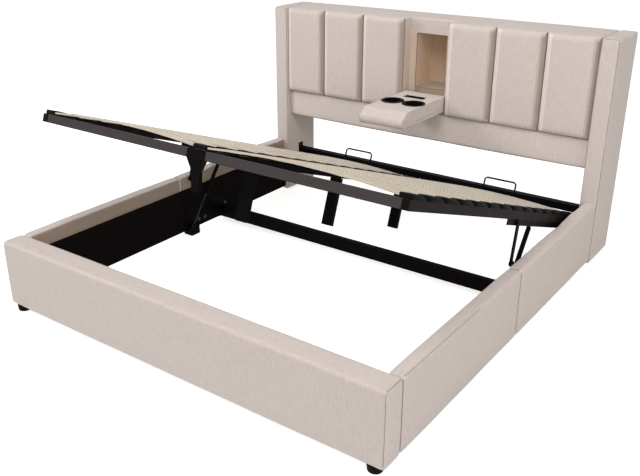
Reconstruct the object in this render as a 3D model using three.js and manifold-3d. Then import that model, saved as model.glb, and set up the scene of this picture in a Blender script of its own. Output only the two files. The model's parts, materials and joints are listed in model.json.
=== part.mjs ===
// Upholstered king bed with a lifting slatted platform and a storage headboard whose middle
// channel folds down as an armrest. Millimetres, +X to the right, +Y to the head, +Z up.
// The origin is on the floor, under the middle of the bed. The model stands as it is shown:
// platform raised, armrest folded down.
import * as THREE from "three";
import { mergeVertices } from "three/addons/utils/BufferGeometryUtils.js";
import Module from "manifold-3d";

const wasm = await Module();
wasm.setup();

// Driving sizes of the bed frame.
const bedWidth = 2080;
const bedLength = 2368;
const headboardTop = 1184;
const railTop = 354;
const railClearance = 30;
const footboardThickness = 113;
const railThickness = 64;
const wingThickness = 89;
const wingDepth = 293;
const wingClearance = 14;

// Clearances and shared edge roundings.
const seat = 0.3;
const running = 0.5;
const layerGap = 1.3;
const overrun = 2;
const upholsteryRadius = 14;
const upholsteryEdge = 8;
const edgeSteps = 3;
const cornerSteps = 4;
const roundSides = 24;
const boreSides = 12;

// Lining, feet and legs of the bed frame.
const liningThickness = 3;
const liningBelowRailTop = 74;
const footTopRadius = 32;
const footBottomRadius = 29;
const footEndInset = 52;
const footFrontInset = 33;
const railLegWidth = 33;
const railLegLength = 66;
const railLegBehindSeam = 33;
const railLegUnderRail = 29;
const railLegWeld = 2;
const railSeamBeforeStrut = 42;
const glideLength = 36;
const glideInset = 30;

// Cross members.
const crossbeamFromPivot = 553;
const crossbeamDepth = 30;
const crossbeamHeight = 70;
const crossbeamBottom = 30;
const crossbeamWall = 2;
const crossbeamEndPlate = 4;
const crossbeamEndLength = 50;
const crossbeamEndShift = 4;
const crossbarFromWingFront = 115;
const crossbarSize = 40;
const crossbarBottom = 235;
const crossbarWall = 2;
const crossbarFlangeHeight = 67;
const crossbarFlangeThickness = 5;
const frameBoltRadius = 5;
const crossbarBoltBelowTop = 14;

// Headboard.
const bandBottom = 514;
const bandTop = 674;
const bandFaceBehindWing = 34;
const channelsPerSide = 3;
const channelFaceBehindWing = 17;
const channelCrown = 12;
const channelGap = 1;
const recessDepth = 93;
const nicheWidth = 188;
const nicheAboveBand = 121;
const nicheBelowTop = 84;
const nicheBack = 20;

// Armrest, as it lies folded down.
const armrestPivotBehindFace = 11;
const armrestPivotAboveBand = 44;
const armrestRearLength = 20;
const armrestPadRearLength = 36;
const armrestPadSeam = 9;
const armrestPadEdge = 3;
const armrestRollDepth = 52;
const armrestSideGap = 5;
const armrestRecessPlay = 6;
const armrestPadSideGap = 3;
const armrestPinRadius = 6;
const armrestPinReach = 12;
const cupRadius = 48;
const cupRimWidth = 10;
const cupRimGap = 20;
const cupSideMargin = 4.9;
const cupWall = 2.5;
const cupFloor = 16;
const cupRimHeight = 2;
const cupFromFrontShare = 0.506;
const slotFromFrontShare = 0.779;
const slotLength = 120;
const slotWidth = 26;
const slotDepth = 24;
const slotWall = 2;

// Lifting platform, drawn closed and level before it is turned up about its pivots.
const openAngle = THREE.MathUtils.degToRad(20);
const platformFootGap = 30;
const platformSideGap = 24;
const platformHeadGap = 7;
const platformBelowRailTop = 59;
const beamWidth = 30;
const beamHeight = 38;
const beamWall = 1.6;
const centreBeamWidth = 40;
const pivotFromHead = 90;
const pivotRadius = 8;
const sidePlateThickness = 4;
const sidePlateDepth = 26;
const sidePlateFromHead = 60;
const sidePlatePastArm = 112;
const platformLegWidth = 60;
const platformLegDepth = 22;
const platformLegWall = 2;
const platformLegClearance = 14;
const legFromHeadShares = [0.09, 0.452, 0.81];
const footLegWidth = 42;
const footLegDepth = 20;
const footLegTilt = THREE.MathUtils.degToRad(14);
const footLegLength = 135;
const footGussetWidth = 94;
const footGussetHeight = 52;
const footPlateThickness = 4;
const loopWidth = 180;
const loopHeight = 108;
const loopWire = 5;
const loopCornerRadius = 14;
const loopCentreShares = [-0.448, 0.55];

// Slats and their holders.
const slatRows = 14;
const slatEndMargin = 86;
const slatFootMargin = 47;
const slatWidth = 60;
const slatThickness = 8;
const slatRise = 22;
const slatSteps = 6;
const slatAboveFrame = 6;
const slatPocketDepth = 22;
const holderWall = 3;
const holderCover = 4;
const holderLength = 52;
const holderRoundness = 5;
const pocketPlay = 0.6;
const centreHolderLength = 72;

// Lift mechanism. Places are given closed and level, from the platform's head end.
const basePlateThickness = 4;
const armThickness = 4;
const upperArmClearance = 3;
const armWidth = 25;
const armEyeRing = 2.5;
const armPinRadius = 6;
const pinHeadRadius = 10;
const pinHeadThickness = 2;
const lowerArmLength = 308;
const lowerArmTilt = THREE.MathUtils.degToRad(134.4);
const lowerArmBaseFromPivot = 582;
const lowerArmBaseAbovePlate = 64;
const upperArmTopFromPivot = 795;
const strutBaseFromPivot = 824;
const strutBaseAbovePlate = 14;
const strutTopFromPivot = 568;
const mechanismTopBelowBeam = 12;
const strutFromPlate = 13;
const strutRodRadius = 5;
const strutCylinderWall = 5.5;
const strutCylinderLength = 250;
const strutEyeRadius = 9;
const strutEyeWidth = 12;
const strutEyeNeck = 20;
const strutEngagement = 45;
const basePlateHeight = 206;
const basePlateCorner = 34;
const basePlateMargin = 30;
const basePlateTab = 30;
const basePlateBehindPin = 40;
const pivotBracketReach = 38;
const basePlateBottom = 56;

// Places worked out from the driving sizes.
const half = bedWidth / 2;
const footFace = -bedLength / 2;
const headFace = bedLength / 2;
const footboardBack = footFace + footboardThickness;
const wingFront = headFace - wingDepth;
const wingInner = half - wingThickness;
const railInner = half - railThickness;
const liningInner = railInner - seat - liningThickness;
const plateOuter = liningInner - seat;
const plateInner = plateOuter - basePlateThickness;
const lowerArmOuter = plateInner - layerGap;
const upperArmOuter = lowerArmOuter - armThickness - layerGap;
const upperArmInner = railInner - platformSideGap + upperArmClearance;
const channelFace = wingFront + channelFaceBehindWing;
const recessBack = wingFront + recessDepth;
const armrestPivotY = channelFace + armrestPivotBehindFace;
const armrestPivotZ = bandTop + armrestPivotAboveBand;
const cupRimRadius = cupRadius + cupRimWidth;
const cupFromMiddle = cupRimRadius + cupRimGap / 2;
const recessHalf = cupFromMiddle + cupRimRadius + cupSideMargin + armrestSideGap;
const channelWidth = (wingInner - recessHalf) / channelsPerSide;
const platformHead = wingFront - platformHeadGap;
const platformFoot = footboardBack + platformFootGap;
const platformLength = platformHead - platformFoot;
const platformTop = railTop - platformBelowRailTop;
const beamOuter = railInner - platformSideGap;
const beamInner = beamOuter - beamWidth;
const beamBottom = platformTop - beamHeight;
const pivotY = platformHead - pivotFromHead;
const pivotZ = platformTop - beamHeight / 2;
const mechanismTop = beamBottom - mechanismTopBelowBeam;
const holderWidth = slatWidth + 2 * holderWall;
const holderHeight = slatAboveFrame + slatThickness + holderCover;
const armEyeRadius = armWidth / 2 + armEyeRing;
const strutBoreRadius = strutRodRadius + running;
const strutCylinderRadius = strutBoreRadius + strutCylinderWall;
const crossbeamFront = pivotY - crossbeamFromPivot;
const railSeam = pivotY - strutBaseFromPivot - railSeamBeforeStrut;

const material = (color, roughness, metalness = 0) =>
  new THREE.MeshStandardMaterial({ color, roughness, metalness });
const fabric = material(0xcfc4b8, 0.9);
const blackLining = material(0x17140f, 0.85);
const blackSteel = material(0x161316, 0.45, 0.6);
const greySteel = material(0x4c4748, 0.5, 0.6);
const blackPlastic = material(0x121113, 0.5);
const slatWood = material(0xbdb49f, 0.6);

const bed = new THREE.Group();
const lift = new THREE.Group();
lift.position.set(0, pivotY, pivotZ);
lift.rotation.x = -openAngle;
bed.add(lift);

function addPart(parent, name, geometry, finish) {
  const mesh = new THREE.Mesh(geometry, finish);
  mesh.name = name;
  parent.add(mesh);
  return mesh;
}

// Left and right copies: the right one is drawn, and the left one is its mirror image.
function addPair(parent, name, geometry, finish) {
  addPart(parent, `${name}_right`, geometry, finish);
  addPart(parent, `${name}_left`, geometry, finish).scale.x = -1;
}

// Solids for the joins and cuts.
function solidOf(geometry) {
  const bare = geometry.clone();
  bare.deleteAttribute("normal");
  bare.deleteAttribute("uv");
  const merged = mergeVertices(bare);
  return new wasm.Manifold(
    new wasm.Mesh({
      numProp: 3,
      vertProperties: new Float32Array(merged.attributes.position.array),
      triVerts: new Uint32Array(merged.index.array),
    }),
  );
}

function geometryOf(solid) {
  const mesh = solid.getMesh();
  const geometry = new THREE.BufferGeometry();
  geometry.setAttribute("position", new THREE.BufferAttribute(mesh.vertProperties, 3));
  geometry.setIndex(new THREE.BufferAttribute(mesh.triVerts, 1));
  return geometry;
}

const joined = (...geometries) =>
  geometryOf(geometries.map(solidOf).reduce((whole, next) => whole.add(next)));
const cutBy = (geometry, ...tools) =>
  geometryOf(tools.map(solidOf).reduce((whole, tool) => whole.subtract(tool), solidOf(geometry)));

// Basic forms. A profile along X is drawn in Y and Z, and one along Y in X and Z.
const unit = {
  x: new THREE.Vector3(1, 0, 0),
  y: new THREE.Vector3(0, 1, 0),
  z: new THREE.Vector3(0, 0, 1),
};

function extrude(shape, length, edge = 0) {
  const settings = { depth: length - 2 * edge, curveSegments: cornerSteps, bevelEnabled: edge > 0 };
  settings.bevelThickness = edge;
  settings.bevelSize = edge;
  settings.bevelOffset = -edge;
  settings.bevelSegments = edgeSteps;
  return new THREE.ExtrudeGeometry(shape, settings).translate(0, 0, edge);
}

const alongX = (shape, start, end, edge) =>
  extrude(shape, end - start, edge)
    .applyMatrix4(new THREE.Matrix4().makeBasis(unit.y, unit.z, unit.x))
    .translate(start, 0, 0);
const alongY = (shape, start, end, edge) =>
  extrude(shape, end - start, edge)
    .rotateX(Math.PI / 2)
    .translate(0, end, 0);
const alongZ = (shape, start, end, edge) => extrude(shape, end - start, edge).translate(0, 0, start);

function outline(points) {
  return new THREE.Shape(points.map(([u, v]) => new THREE.Vector2(u, v)));
}

const rectangle = (u0, u1, v0, v1) =>
  outline([
    [u0, v0],
    [u1, v0],
    [u1, v1],
    [u0, v1],
  ]);

function roundedRectangle(u0, u1, v0, v1, radius) {
  const shape = new THREE.Shape();
  const quarter = Math.PI / 2;
  shape.absarc(u1 - radius, v0 + radius, radius, -quarter, 0);
  shape.absarc(u1 - radius, v1 - radius, radius, 0, quarter);
  shape.absarc(u0 + radius, v1 - radius, radius, quarter, 2 * quarter);
  shape.absarc(u0 + radius, v0 + radius, radius, 2 * quarter, 3 * quarter);
  return shape;
}

function tubeShape(u0, u1, v0, v1, wall) {
  const shape = rectangle(u0, u1, v0, v1);
  shape.holes.push(rectangle(u0 + wall, u1 - wall, v0 + wall, v1 - wall));
  return shape;
}

const block = (x0, x1, y0, y1, z0, z1) =>
  new THREE.BoxGeometry(x1 - x0, y1 - y0, z1 - z0).translate(
    (x0 + x1) / 2,
    (y0 + y1) / 2,
    (z0 + z1) / 2,
  );

// A round pin or hole along X.
const pinX = (x0, x1, y, z, radius) =>
  new THREE.CylinderGeometry(radius, radius, Math.abs(x1 - x0), roundSides)
    .rotateZ(Math.PI / 2)
    .translate((x0 + x1) / 2, y, z);

// An upholstered board: rounded along its length and at both ends.
const softBoardX = (x0, x1, y0, y1, z0, z1) =>
  alongX(roundedRectangle(y0, y1, z0, z1, upholsteryRadius), x0, x1, upholsteryEdge);
const softBoardY = (x0, x1, y0, y1, z0, z1) =>
  alongY(roundedRectangle(x0, x1, z0, z1, upholsteryRadius), y0, y1, upholsteryEdge);
const softBoardZ = (x0, x1, y0, y1, z0, z1) =>
  alongZ(roundedRectangle(x0, x1, y0, y1, upholsteryRadius), z0, z1, upholsteryEdge);

// Where a place on the level platform comes to when the platform is turned up.
function raised([y, z]) {
  const dy = y - pivotY;
  const dz = z - pivotZ;
  const turn = -openAngle;
  return [
    pivotY + dy * Math.cos(turn) - dz * Math.sin(turn),
    pivotZ + dy * Math.sin(turn) + dz * Math.cos(turn),
  ];
}

function addFootboard() {
  const board = softBoardX(-half, half, footFace, footboardBack, railClearance, railTop);
  addPart(bed, "footboard", board, fabric);
  const foot = new THREE.CylinderGeometry(
    footTopRadius,
    footBottomRadius,
    railClearance - seat,
    roundSides,
  )
    .rotateX(Math.PI / 2)
    .translate(half - footEndInset, footFace + footFrontInset, (railClearance - seat) / 2);
  addPair(bed, "footboard_foot", foot, blackPlastic);
}

function addRails() {
  const frontStart = footboardBack + seat;
  const frontEnd = railSeam - seat / 2;
  const rearStart = railSeam + seat / 2;
  const rearEnd = wingFront - seat;
  const rail = (start, end) => softBoardY(railInner, half, start, end, railClearance, railTop);
  addPair(bed, "side_rail_front", rail(frontStart, frontEnd), fabric);
  addPair(bed, "side_rail_rear", rail(rearStart, rearEnd), fabric);
  const lining = block(
    liningInner,
    liningInner + liningThickness,
    footboardBack + seat,
    wingFront - seat,
    railClearance,
    railTop - liningBelowRailTop,
  );
  addPair(bed, "rail_lining", lining, blackLining);
}

function addCrossMembers() {
  const front = crossbeamFront;
  const back = front + crossbeamDepth;
  const top = crossbeamBottom + crossbeamHeight;
  const end = plateInner - seat;
  const middle = (front + back) / 2;
  const endPlate = (x) =>
    block(
      x,
      x + crossbeamEndPlate,
      middle - crossbeamEndLength / 2,
      middle + crossbeamEndLength / 2,
      crossbeamBottom + crossbeamEndShift,
      top + crossbeamEndShift,
    );
  const beam = joined(
    alongX(tubeShape(front, back, crossbeamBottom, top, crossbeamWall), -end, end),
    endPlate(-end),
    endPlate(end - crossbeamEndPlate),
  );
  const beamBolts = pinX(
    -end - overrun,
    end + overrun,
    middle,
    (crossbeamBottom + top) / 2,
    frameBoltRadius,
  );
  addPart(bed, "crossbeam", cutBy(beam, beamBolts), blackSteel);

  const barFront = wingFront + crossbarFromWingFront;
  const barBack = barFront + crossbarSize;
  const barTop = crossbarBottom + crossbarSize;
  const barMiddle = (barFront + barBack) / 2;
  const barEnd = wingInner - seat;
  const flangeTop = crossbarBottom + crossbarFlangeHeight;
  const flange = (x) =>
    block(x, x + crossbarFlangeThickness, barFront, barBack, crossbarBottom, flangeTop);
  const bolts = (z) => pinX(-barEnd - overrun, barEnd + overrun, barMiddle, z, frameBoltRadius);
  const bar = joined(
    alongX(tubeShape(barFront, barBack, crossbarBottom, barTop, crossbarWall), -barEnd, barEnd),
    flange(-barEnd),
    flange(barEnd - crossbarFlangeThickness),
  );
  const boltHeights = [flangeTop - crossbarBoltBelowTop, crossbarBottom + crossbarSize / 2];
  addPart(bed, "head_crossbar", cutBy(bar, ...boltHeights.map(bolts)), blackSteel);
}

function addWings() {
  const glide = (y) =>
    block(
      wingInner + glideInset,
      half - glideInset,
      y,
      y + glideLength,
      0,
      wingClearance + overrun,
    );
  const wing = joined(
    softBoardZ(wingInner, half, wingFront, headFace, wingClearance, headboardTop),
    glide(wingFront + glideInset),
    glide(headFace - glideInset - glideLength),
  );
  addPair(bed, "wing", wing, fabric);
}

function addHeadboard() {
  const side = wingInner - seat;
  const backBox = softBoardX(-side, side, recessBack, headFace, bandBottom, headboardTop);
  const boardBack = recessBack + upholsteryRadius + overrun;
  const board = (x0, x1) => block(x0, x1, channelFace, boardBack, bandTop, headboardTop);
  const niche = block(
    -nicheWidth / 2,
    nicheWidth / 2,
    recessBack - overrun,
    headFace - nicheBack,
    bandTop + nicheAboveBand,
    headboardTop - nicheBelowTop,
  );
  const boardsAndBox = joined(backBox, board(-side, -recessHalf), board(recessHalf, side));
  const pinHole = pinX(
    -recessHalf - armrestPinReach,
    recessHalf + armrestPinReach,
    armrestPivotY,
    armrestPivotZ,
    armrestPinRadius + running,
  );
  addPart(bed, "headboard_frame", cutBy(boardsAndBox, niche, pinHole), fabric);
  const bandFace = wingFront + bandFaceBehindWing;
  addPart(
    bed,
    "headboard_band",
    softBoardX(-side, side, bandFace, recessBack - seat, bandBottom, bandTop - seat),
    fabric,
  );
}

// One upright channel: a crowned front whose sides and ends draw in to the seams.
function channelPad(x0, x1) {
  const back = channelFace - seat;
  const face = back - channelCrown;
  const middle = (x0 + x1) / 2;
  const quarter = (x1 - x0) / 4;
  const shape = new THREE.Shape();
  shape.moveTo(x1, back);
  shape.bezierCurveTo(x1, face, middle + quarter, face, middle, face);
  shape.bezierCurveTo(middle - quarter, face, x0, face, x0, back);
  return alongZ(shape, bandTop + seat, headboardTop, upholsteryEdge / 2);
}

function addChannels() {
  let number = 0;
  for (const first of [-wingInner, recessHalf]) {
    for (let index = 0; index < channelsPerSide; index += 1) {
      number += 1;
      const start = first + index * channelWidth + channelGap / 2;
      const pad = channelPad(start, start + channelWidth - channelGap);
      addPart(bed, `channel_pad_${number}`, pad, fabric);
    }
  }
}

function addArmrest() {
  const top = armrestPivotZ + recessBack - armrestPivotY - armrestRecessPlay;
  const under = armrestPivotZ - armrestPivotBehindFace - channelCrown;
  const seam = armrestPivotZ - armrestPadSeam;
  const armrestLength = headboardTop - armrestPivotZ;
  const front = armrestPivotY - armrestLength;
  const boxFront = front + armrestRollDepth;
  const bodyHalf = recessHalf - armrestSideGap;
  const padHalf = recessHalf - armrestPadSideGap;
  const cupDepth = top - seam - cupFloor;
  const cupY = front + armrestLength * cupFromFrontShare;
  const slotY = front + armrestLength * slotFromFrontShare;
  const cupX = [-cupFromMiddle, cupFromMiddle];

  const box = alongX(
    rectangle(boxFront, armrestPivotY + armrestRearLength, seam + seat, top),
    -bodyHalf,
    bodyHalf,
  );
  const pins = pinX(
    -recessHalf - armrestPinReach + running,
    recessHalf + armrestPinReach - running,
    armrestPivotY,
    armrestPivotZ,
    armrestPinRadius,
  );
  const well = (x) =>
    new THREE.CylinderGeometry(
      cupRadius + running,
      cupRadius + running,
      cupDepth + running + overrun,
      roundSides,
    )
      .rotateX(Math.PI / 2)
      .translate(x, cupY, top + overrun - (cupDepth + running + overrun) / 2);
  const slotPocket = block(
    -slotLength / 2 - running,
    slotLength / 2 + running,
    slotY - slotWidth / 2 - running,
    slotY + slotWidth / 2 + running,
    top - slotDepth - running,
    top + overrun,
  );
  addPart(bed, "armrest_body", cutBy(joined(box, pins), ...cupX.map(well), slotPocket), fabric);

  const roll = armrestRollDepth;
  const padShape = new THREE.Shape();
  const padRear = armrestPivotY + armrestPadRearLength;
  padShape.moveTo(padRear, seam);
  padShape.lineTo(boxFront - seat, seam);
  padShape.lineTo(boxFront - seat, top);
  padShape.bezierCurveTo(boxFront - roll / 2, top, front, top - roll / 2, front, seam + roll / 4);
  padShape.bezierCurveTo(front, under, front + roll / 4, under, front + roll, under);
  padShape.lineTo(armrestPivotY, under);
  padShape.quadraticCurveTo(padRear, under, padRear, seam);
  addPart(bed, "armrest_pad", alongX(padShape, -padHalf, padHalf, armrestPadEdge), fabric);

  const wallTop = top + seat;
  const liner = new THREE.LatheGeometry(
    [
      [0, top - cupDepth],
      [cupRadius, top - cupDepth],
      [cupRadius, wallTop],
      [cupRimRadius, wallTop],
      [cupRimRadius, wallTop + cupRimHeight],
      [cupRadius - cupWall, wallTop + cupRimHeight],
      [cupRadius - cupWall, top - cupDepth + cupWall],
      [0, top - cupDepth + cupWall],
    ].map(([r, z]) => new THREE.Vector2(r, z)),
    roundSides,
  ).rotateX(Math.PI / 2);
  addPart(bed, "cup_liner_left", liner, blackPlastic).position.set(cupX[0], cupY, 0);
  addPart(bed, "cup_liner_right", liner, blackPlastic).position.set(cupX[1], cupY, 0);

  const trayBlock = (inset, bottom, lid) =>
    block(
      -slotLength / 2 + inset,
      slotLength / 2 - inset,
      slotY - slotWidth / 2 + inset,
      slotY + slotWidth / 2 - inset,
      bottom,
      lid,
    );
  const tray = cutBy(
    trayBlock(0, top - slotDepth, wallTop + cupRimHeight),
    trayBlock(slotWall, top - slotDepth + slotWall, wallTop + cupRimHeight + overrun),
  );
  addPart(bed, "device_slot_tray", tray, blackPlastic);
}

// The rest of the parts is drawn level and hung in the lift group about the pivots.
const hung = (geometry) => geometry.translate(0, -pivotY, -pivotZ);

function addFootBeam() {
  const end = beamInner - seat;
  const back = platformFoot + beamWidth;
  const tube = alongX(
    tubeShape(platformFoot, back, beamBottom, platformTop, beamWall),
    -end,
    end,
  );
  const plate = block(
    -footGussetWidth / 2,
    footGussetWidth / 2,
    platformFoot - footPlateThickness,
    platformFoot + beamWall / 2,
    beamBottom,
    platformTop - footPlateThickness,
  );
  const legShape = outline([
    [-footGussetWidth / 2, beamWall / 2],
    [footGussetWidth / 2, beamWall / 2],
    [footGussetWidth / 2, -footPlateThickness],
    [footLegWidth / 2, -footGussetHeight],
    [footLegWidth / 2, -footLegLength],
    [-footLegWidth / 2, -footLegLength],
    [-footLegWidth / 2, -footGussetHeight],
    [-footGussetWidth / 2, -footPlateThickness],
  ]);
  const leg = alongY(legShape, 0, footLegDepth)
    .rotateX(footLegTilt)
    .translate(0, platformFoot, beamBottom);
  addPart(lift, "platform_foot_beam", hung(joined(tube, plate, leg)), greySteel);
}

// A bent wire loop that keeps the mattress from sliding, standing on the head beam.
function loopWireGeometry(centre) {
  const y = platformHead - beamWidth / 2;
  const left = centre - loopWidth / 2;
  const right = centre + loopWidth / 2;
  const foot = platformTop - beamWall / 2;
  const top = platformTop + loopHeight;
  const bend = loopCornerRadius;
  const corner = (x0, z0, x1, z1, x2, z2) =>
    new THREE.QuadraticBezierCurve3(
      new THREE.Vector3(x0, y, z0),
      new THREE.Vector3(x1, y, z1),
      new THREE.Vector3(x2, y, z2),
    );
  const straight = (x0, z0, x1, z1) =>
    new THREE.LineCurve3(new THREE.Vector3(x0, y, z0), new THREE.Vector3(x1, y, z1));
  const path = new THREE.CurvePath();
  path.add(straight(left, foot, left, top - bend));
  path.add(corner(left, top - bend, left, top, left + bend, top));
  path.add(straight(left + bend, top, right - bend, top));
  path.add(corner(right - bend, top, right, top, right, top - bend));
  path.add(straight(right, top - bend, right, foot));
  const section = new THREE.Shape();
  section.absarc(0, 0, loopWire, 0, 2 * Math.PI);
  return new THREE.ExtrudeGeometry(section, {
    extrudePath: path,
    steps: Math.floor((loopWidth + 2 * loopHeight) / loopCornerRadius) - 1,
    curveSegments: cornerSteps,
    bevelEnabled: false,
  });
}

function addHeadBeam() {
  const end = beamInner - seat;
  const tube = alongX(
    tubeShape(platformHead - beamWidth, platformHead, beamBottom, platformTop, beamWall),
    -end,
    end,
  );
  const loops = loopCentreShares.map((share) => loopWireGeometry(share * beamInner));
  const geometry = joined(tube, ...loops);
  addPart(lift, "platform_head_beam", hung(geometry), blackSteel);
}

function addCentreBeam() {
  const start = platformFoot + beamWidth + seat;
  const end = platformHead - beamWidth - seat;
  const halfBeam = centreBeamWidth / 2;
  const tube = alongY(tubeShape(-halfBeam, halfBeam, beamBottom, platformTop, beamWall), start, end);
  addPart(lift, "platform_centre_beam", hung(tube), blackSteel);
  legFromHeadShares.forEach((share, index) => {
    const y = platformHead - share * platformLength;
    const shape = tubeShape(
      -platformLegWidth / 2,
      platformLegWidth / 2,
      y - platformLegDepth / 2,
      y + platformLegDepth / 2,
      platformLegWall,
    );
    const leg = alongZ(shape, platformLegClearance, beamBottom - seat);
    addPart(lift, `platform_leg_${index + 1}`, hung(leg), blackSteel);
  });
}

const slatPitch = (platformLength - slatEndMargin - slatFootMargin) / (slatRows - 1);
const slatY = (row) => platformHead - slatEndMargin - row * slatPitch;
const slatBottom = platformTop + slatAboveFrame;
const holderEnd = beamOuter;
const holderStart = holderEnd - holderLength;
const slatEnd = holderStart + slatPocketDepth;

// A moulded end cap that holds one slat, with its pocket open to the middle of the bed.
function slatHolder(y) {
  const shape = new THREE.Shape();
  const side = holderWidth / 2;
  const shoulder = platformTop + holderHeight - holderRoundness;
  shape.moveTo(y - side, platformTop + seat);
  shape.lineTo(y + side, platformTop + seat);
  shape.lineTo(y + side, shoulder);
  shape.quadraticCurveTo(y + side, shoulder + holderRoundness, y, shoulder + holderRoundness);
  shape.quadraticCurveTo(y - side, shoulder + holderRoundness, y - side, shoulder);
  const cap = alongX(shape, holderStart, holderEnd);
  const root = block(
    beamInner + seat,
    holderEnd,
    y - side,
    y + side,
    platformTop - beamWall / 2,
    platformTop + 2 * seat,
  );
  const pocket = block(
    holderStart - overrun,
    slatEnd + pocketPlay,
    y - slatWidth / 2 - pocketPlay,
    y + slatWidth / 2 + pocketPlay,
    slatBottom - pocketPlay,
    slatBottom + slatThickness + pocketPlay,
  );
  return joined(cutBy(cap, pocket), root);
}

function addSideBeams() {
  const tube = alongY(
    tubeShape(beamInner, beamOuter, beamBottom, platformTop, beamWall),
    platformFoot,
    platformHead,
  );
  const plate = block(
    beamOuter - sidePlateThickness,
    beamOuter,
    pivotY - upperArmTopFromPivot - sidePlatePastArm,
    platformHead - sidePlateFromHead,
    platformTop - beamHeight - sidePlateDepth,
    beamBottom + beamWall / 2,
  );
  const pivotPin = pinX(beamOuter - beamWall / 2, plateOuter - seat, pivotY, pivotZ, pivotRadius);
  const armStub = pinX(
    beamOuter - sidePlateThickness / 2,
    upperArmInner - running,
    pivotY - upperArmTopFromPivot,
    mechanismTop,
    armPinRadius,
  );
  const strutX = beamOuter - sidePlateThickness - strutFromPlate;
  const strutStub = pinX(
    strutX + strutEyeWidth / 2 + running,
    beamOuter - sidePlateThickness / 2,
    pivotY - strutTopFromPivot,
    mechanismTop,
    armPinRadius,
  );
  const holders = [];
  for (let row = 0; row < slatRows; row += 1) holders.push(slatHolder(slatY(row)));
  const geometry = joined(tube, plate, pivotPin, armStub, strutStub, ...holders);
  addPair(lift, "platform_side_beam", hung(geometry), greySteel);
}

// One sprung slat from the centre holder to the side holder, bowed upwards.
function slatGeometry(y) {
  const start = centreHolderLength / 2 - slatPocketDepth;
  const bowEnd = holderStart - overrun;
  const lower = [];
  const upper = [];
  for (let step = 0; step <= slatSteps; step += 1) {
    const t = step / slatSteps;
    const x = start + (bowEnd - start) * t;
    const bow = slatRise * (1 - (2 * t - 1) ** 2);
    lower.push([x, slatBottom + bow]);
    upper.unshift([x, slatBottom + slatThickness + bow]);
  }
  lower.push([slatEnd, slatBottom]);
  upper.unshift([slatEnd, slatBottom + slatThickness]);
  return alongY(outline([...lower, ...upper]), y - slatWidth / 2, y + slatWidth / 2);
}

function addSlats() {
  for (let row = 0; row < slatRows; row += 1) {
    const y = slatY(row);
    const slat = slatGeometry(y);
    const opposite = slat.clone().rotateZ(Math.PI).translate(0, 2 * y, 0);
    const holder = alongY(
      roundedRectangle(
        -centreHolderLength / 2,
        centreHolderLength / 2,
        platformTop + seat,
        platformTop + holderHeight,
        holderRoundness,
      ),
      y - holderWidth / 2,
      y + holderWidth / 2,
    );
    const number = String(slatRows - row).padStart(2, "0");
    addPart(lift, `slat_row_${number}`, hung(joined(slat, opposite, holder)), slatWood);
  }
}

// The lift mechanism at the right side, standing as it does with the platform raised.
const lowerBase = [pivotY - lowerArmBaseFromPivot, basePlateBottom + lowerArmBaseAbovePlate];
const strutBase = [pivotY - strutBaseFromPivot, basePlateBottom + strutBaseAbovePlate];
const upperTop = raised([pivotY - upperArmTopFromPivot, mechanismTop]);
const strutTop = raised([pivotY - strutTopFromPivot, mechanismTop]);
const knee = [
  lowerBase[0] + lowerArmLength * Math.cos(lowerArmTilt),
  lowerBase[1] + lowerArmLength * Math.sin(lowerArmTilt),
];

// A flat steel bar between two eyes, each with a round end, in the plane of Y and Z.
function armShape([y0, z0], [y1, z1], hole0, hole1) {
  const shape = new THREE.Shape();
  const heading = Math.atan2(z1 - z0, y1 - y0);
  const neck = Math.asin(armWidth / 2 / armEyeRadius);
  shape.absarc(y0, z0, armEyeRadius, heading + neck, heading - neck + 2 * Math.PI);
  shape.absarc(y1, z1, armEyeRadius, heading + neck - Math.PI, heading - neck + Math.PI);
  const addHole = (y, z, radius) => {
    if (radius === 0) return;
    const round = new THREE.EllipseCurve(y, z, radius, radius);
    shape.holes.push(new THREE.Path(round.getPoints(boreSides)));
  };
  addHole(y0, z0, hole0);
  addHole(y1, z1, hole1);
  return shape;
}

function addArms() {
  const boreRadius = armPinRadius + running;
  const lowerInner = lowerArmOuter - armThickness;
  const lower = alongX(armShape(lowerBase, knee, boreRadius, 0), lowerInner, lowerArmOuter);
  const pinEnd = upperArmInner - running;
  const kneePin = pinX(pinEnd, lowerInner + overrun / 2, ...knee, armPinRadius);
  const kneeHead = pinX(pinEnd - pinHeadThickness, pinEnd, ...knee, pinHeadRadius);
  addPair(bed, "lower_arm", joined(lower, kneePin, kneeHead), blackSteel);
  const upperShape = armShape(knee, upperTop, boreRadius, boreRadius);
  const upper = alongX(upperShape, upperArmInner, upperArmOuter);
  addPair(bed, "upper_arm", upper, blackSteel);
}

// The plate that carries the stay and the strut, and the bracket of the platform's pivot.
function liftPlates() {
  const front = strutBase[0] - basePlateMargin;
  const bottom = basePlateBottom;
  const top = bottom + basePlateHeight;
  const tabBottom = crossbeamBottom - seat;
  const crossbeamBack = crossbeamFront + crossbeamDepth;
  const back = Math.max(crossbeamBack + basePlateTab, lowerBase[0] + basePlateBehindPin);
  const plateShape = outline([
    [front, bottom],
    [crossbeamFront - basePlateTab, bottom],
    [crossbeamFront - basePlateTab / 2, tabBottom],
    [crossbeamBack + basePlateTab / 2, tabBottom],
    [back, bottom],
    [back, lowerBase[1]],
    [lowerBase[0] + armEyeRadius, lowerBase[1] + 2 * armEyeRadius],
    [(front + lowerBase[0]) / 2, top],
    [front + basePlateCorner, top],
    [front, top - basePlateCorner],
  ]);
  const reach = pivotBracketReach;
  const bracketShape = outline([
    [pivotY - reach, pivotZ - 2 * reach],
    [pivotY + reach, pivotZ - 2 * reach],
    [pivotY + reach / 2, pivotZ + reach / 2],
    [pivotY - reach / 2, pivotZ + reach / 2],
  ]);
  return [plateShape, bracketShape].map((shape) => alongX(shape, plateInner, plateOuter));
}

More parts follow.
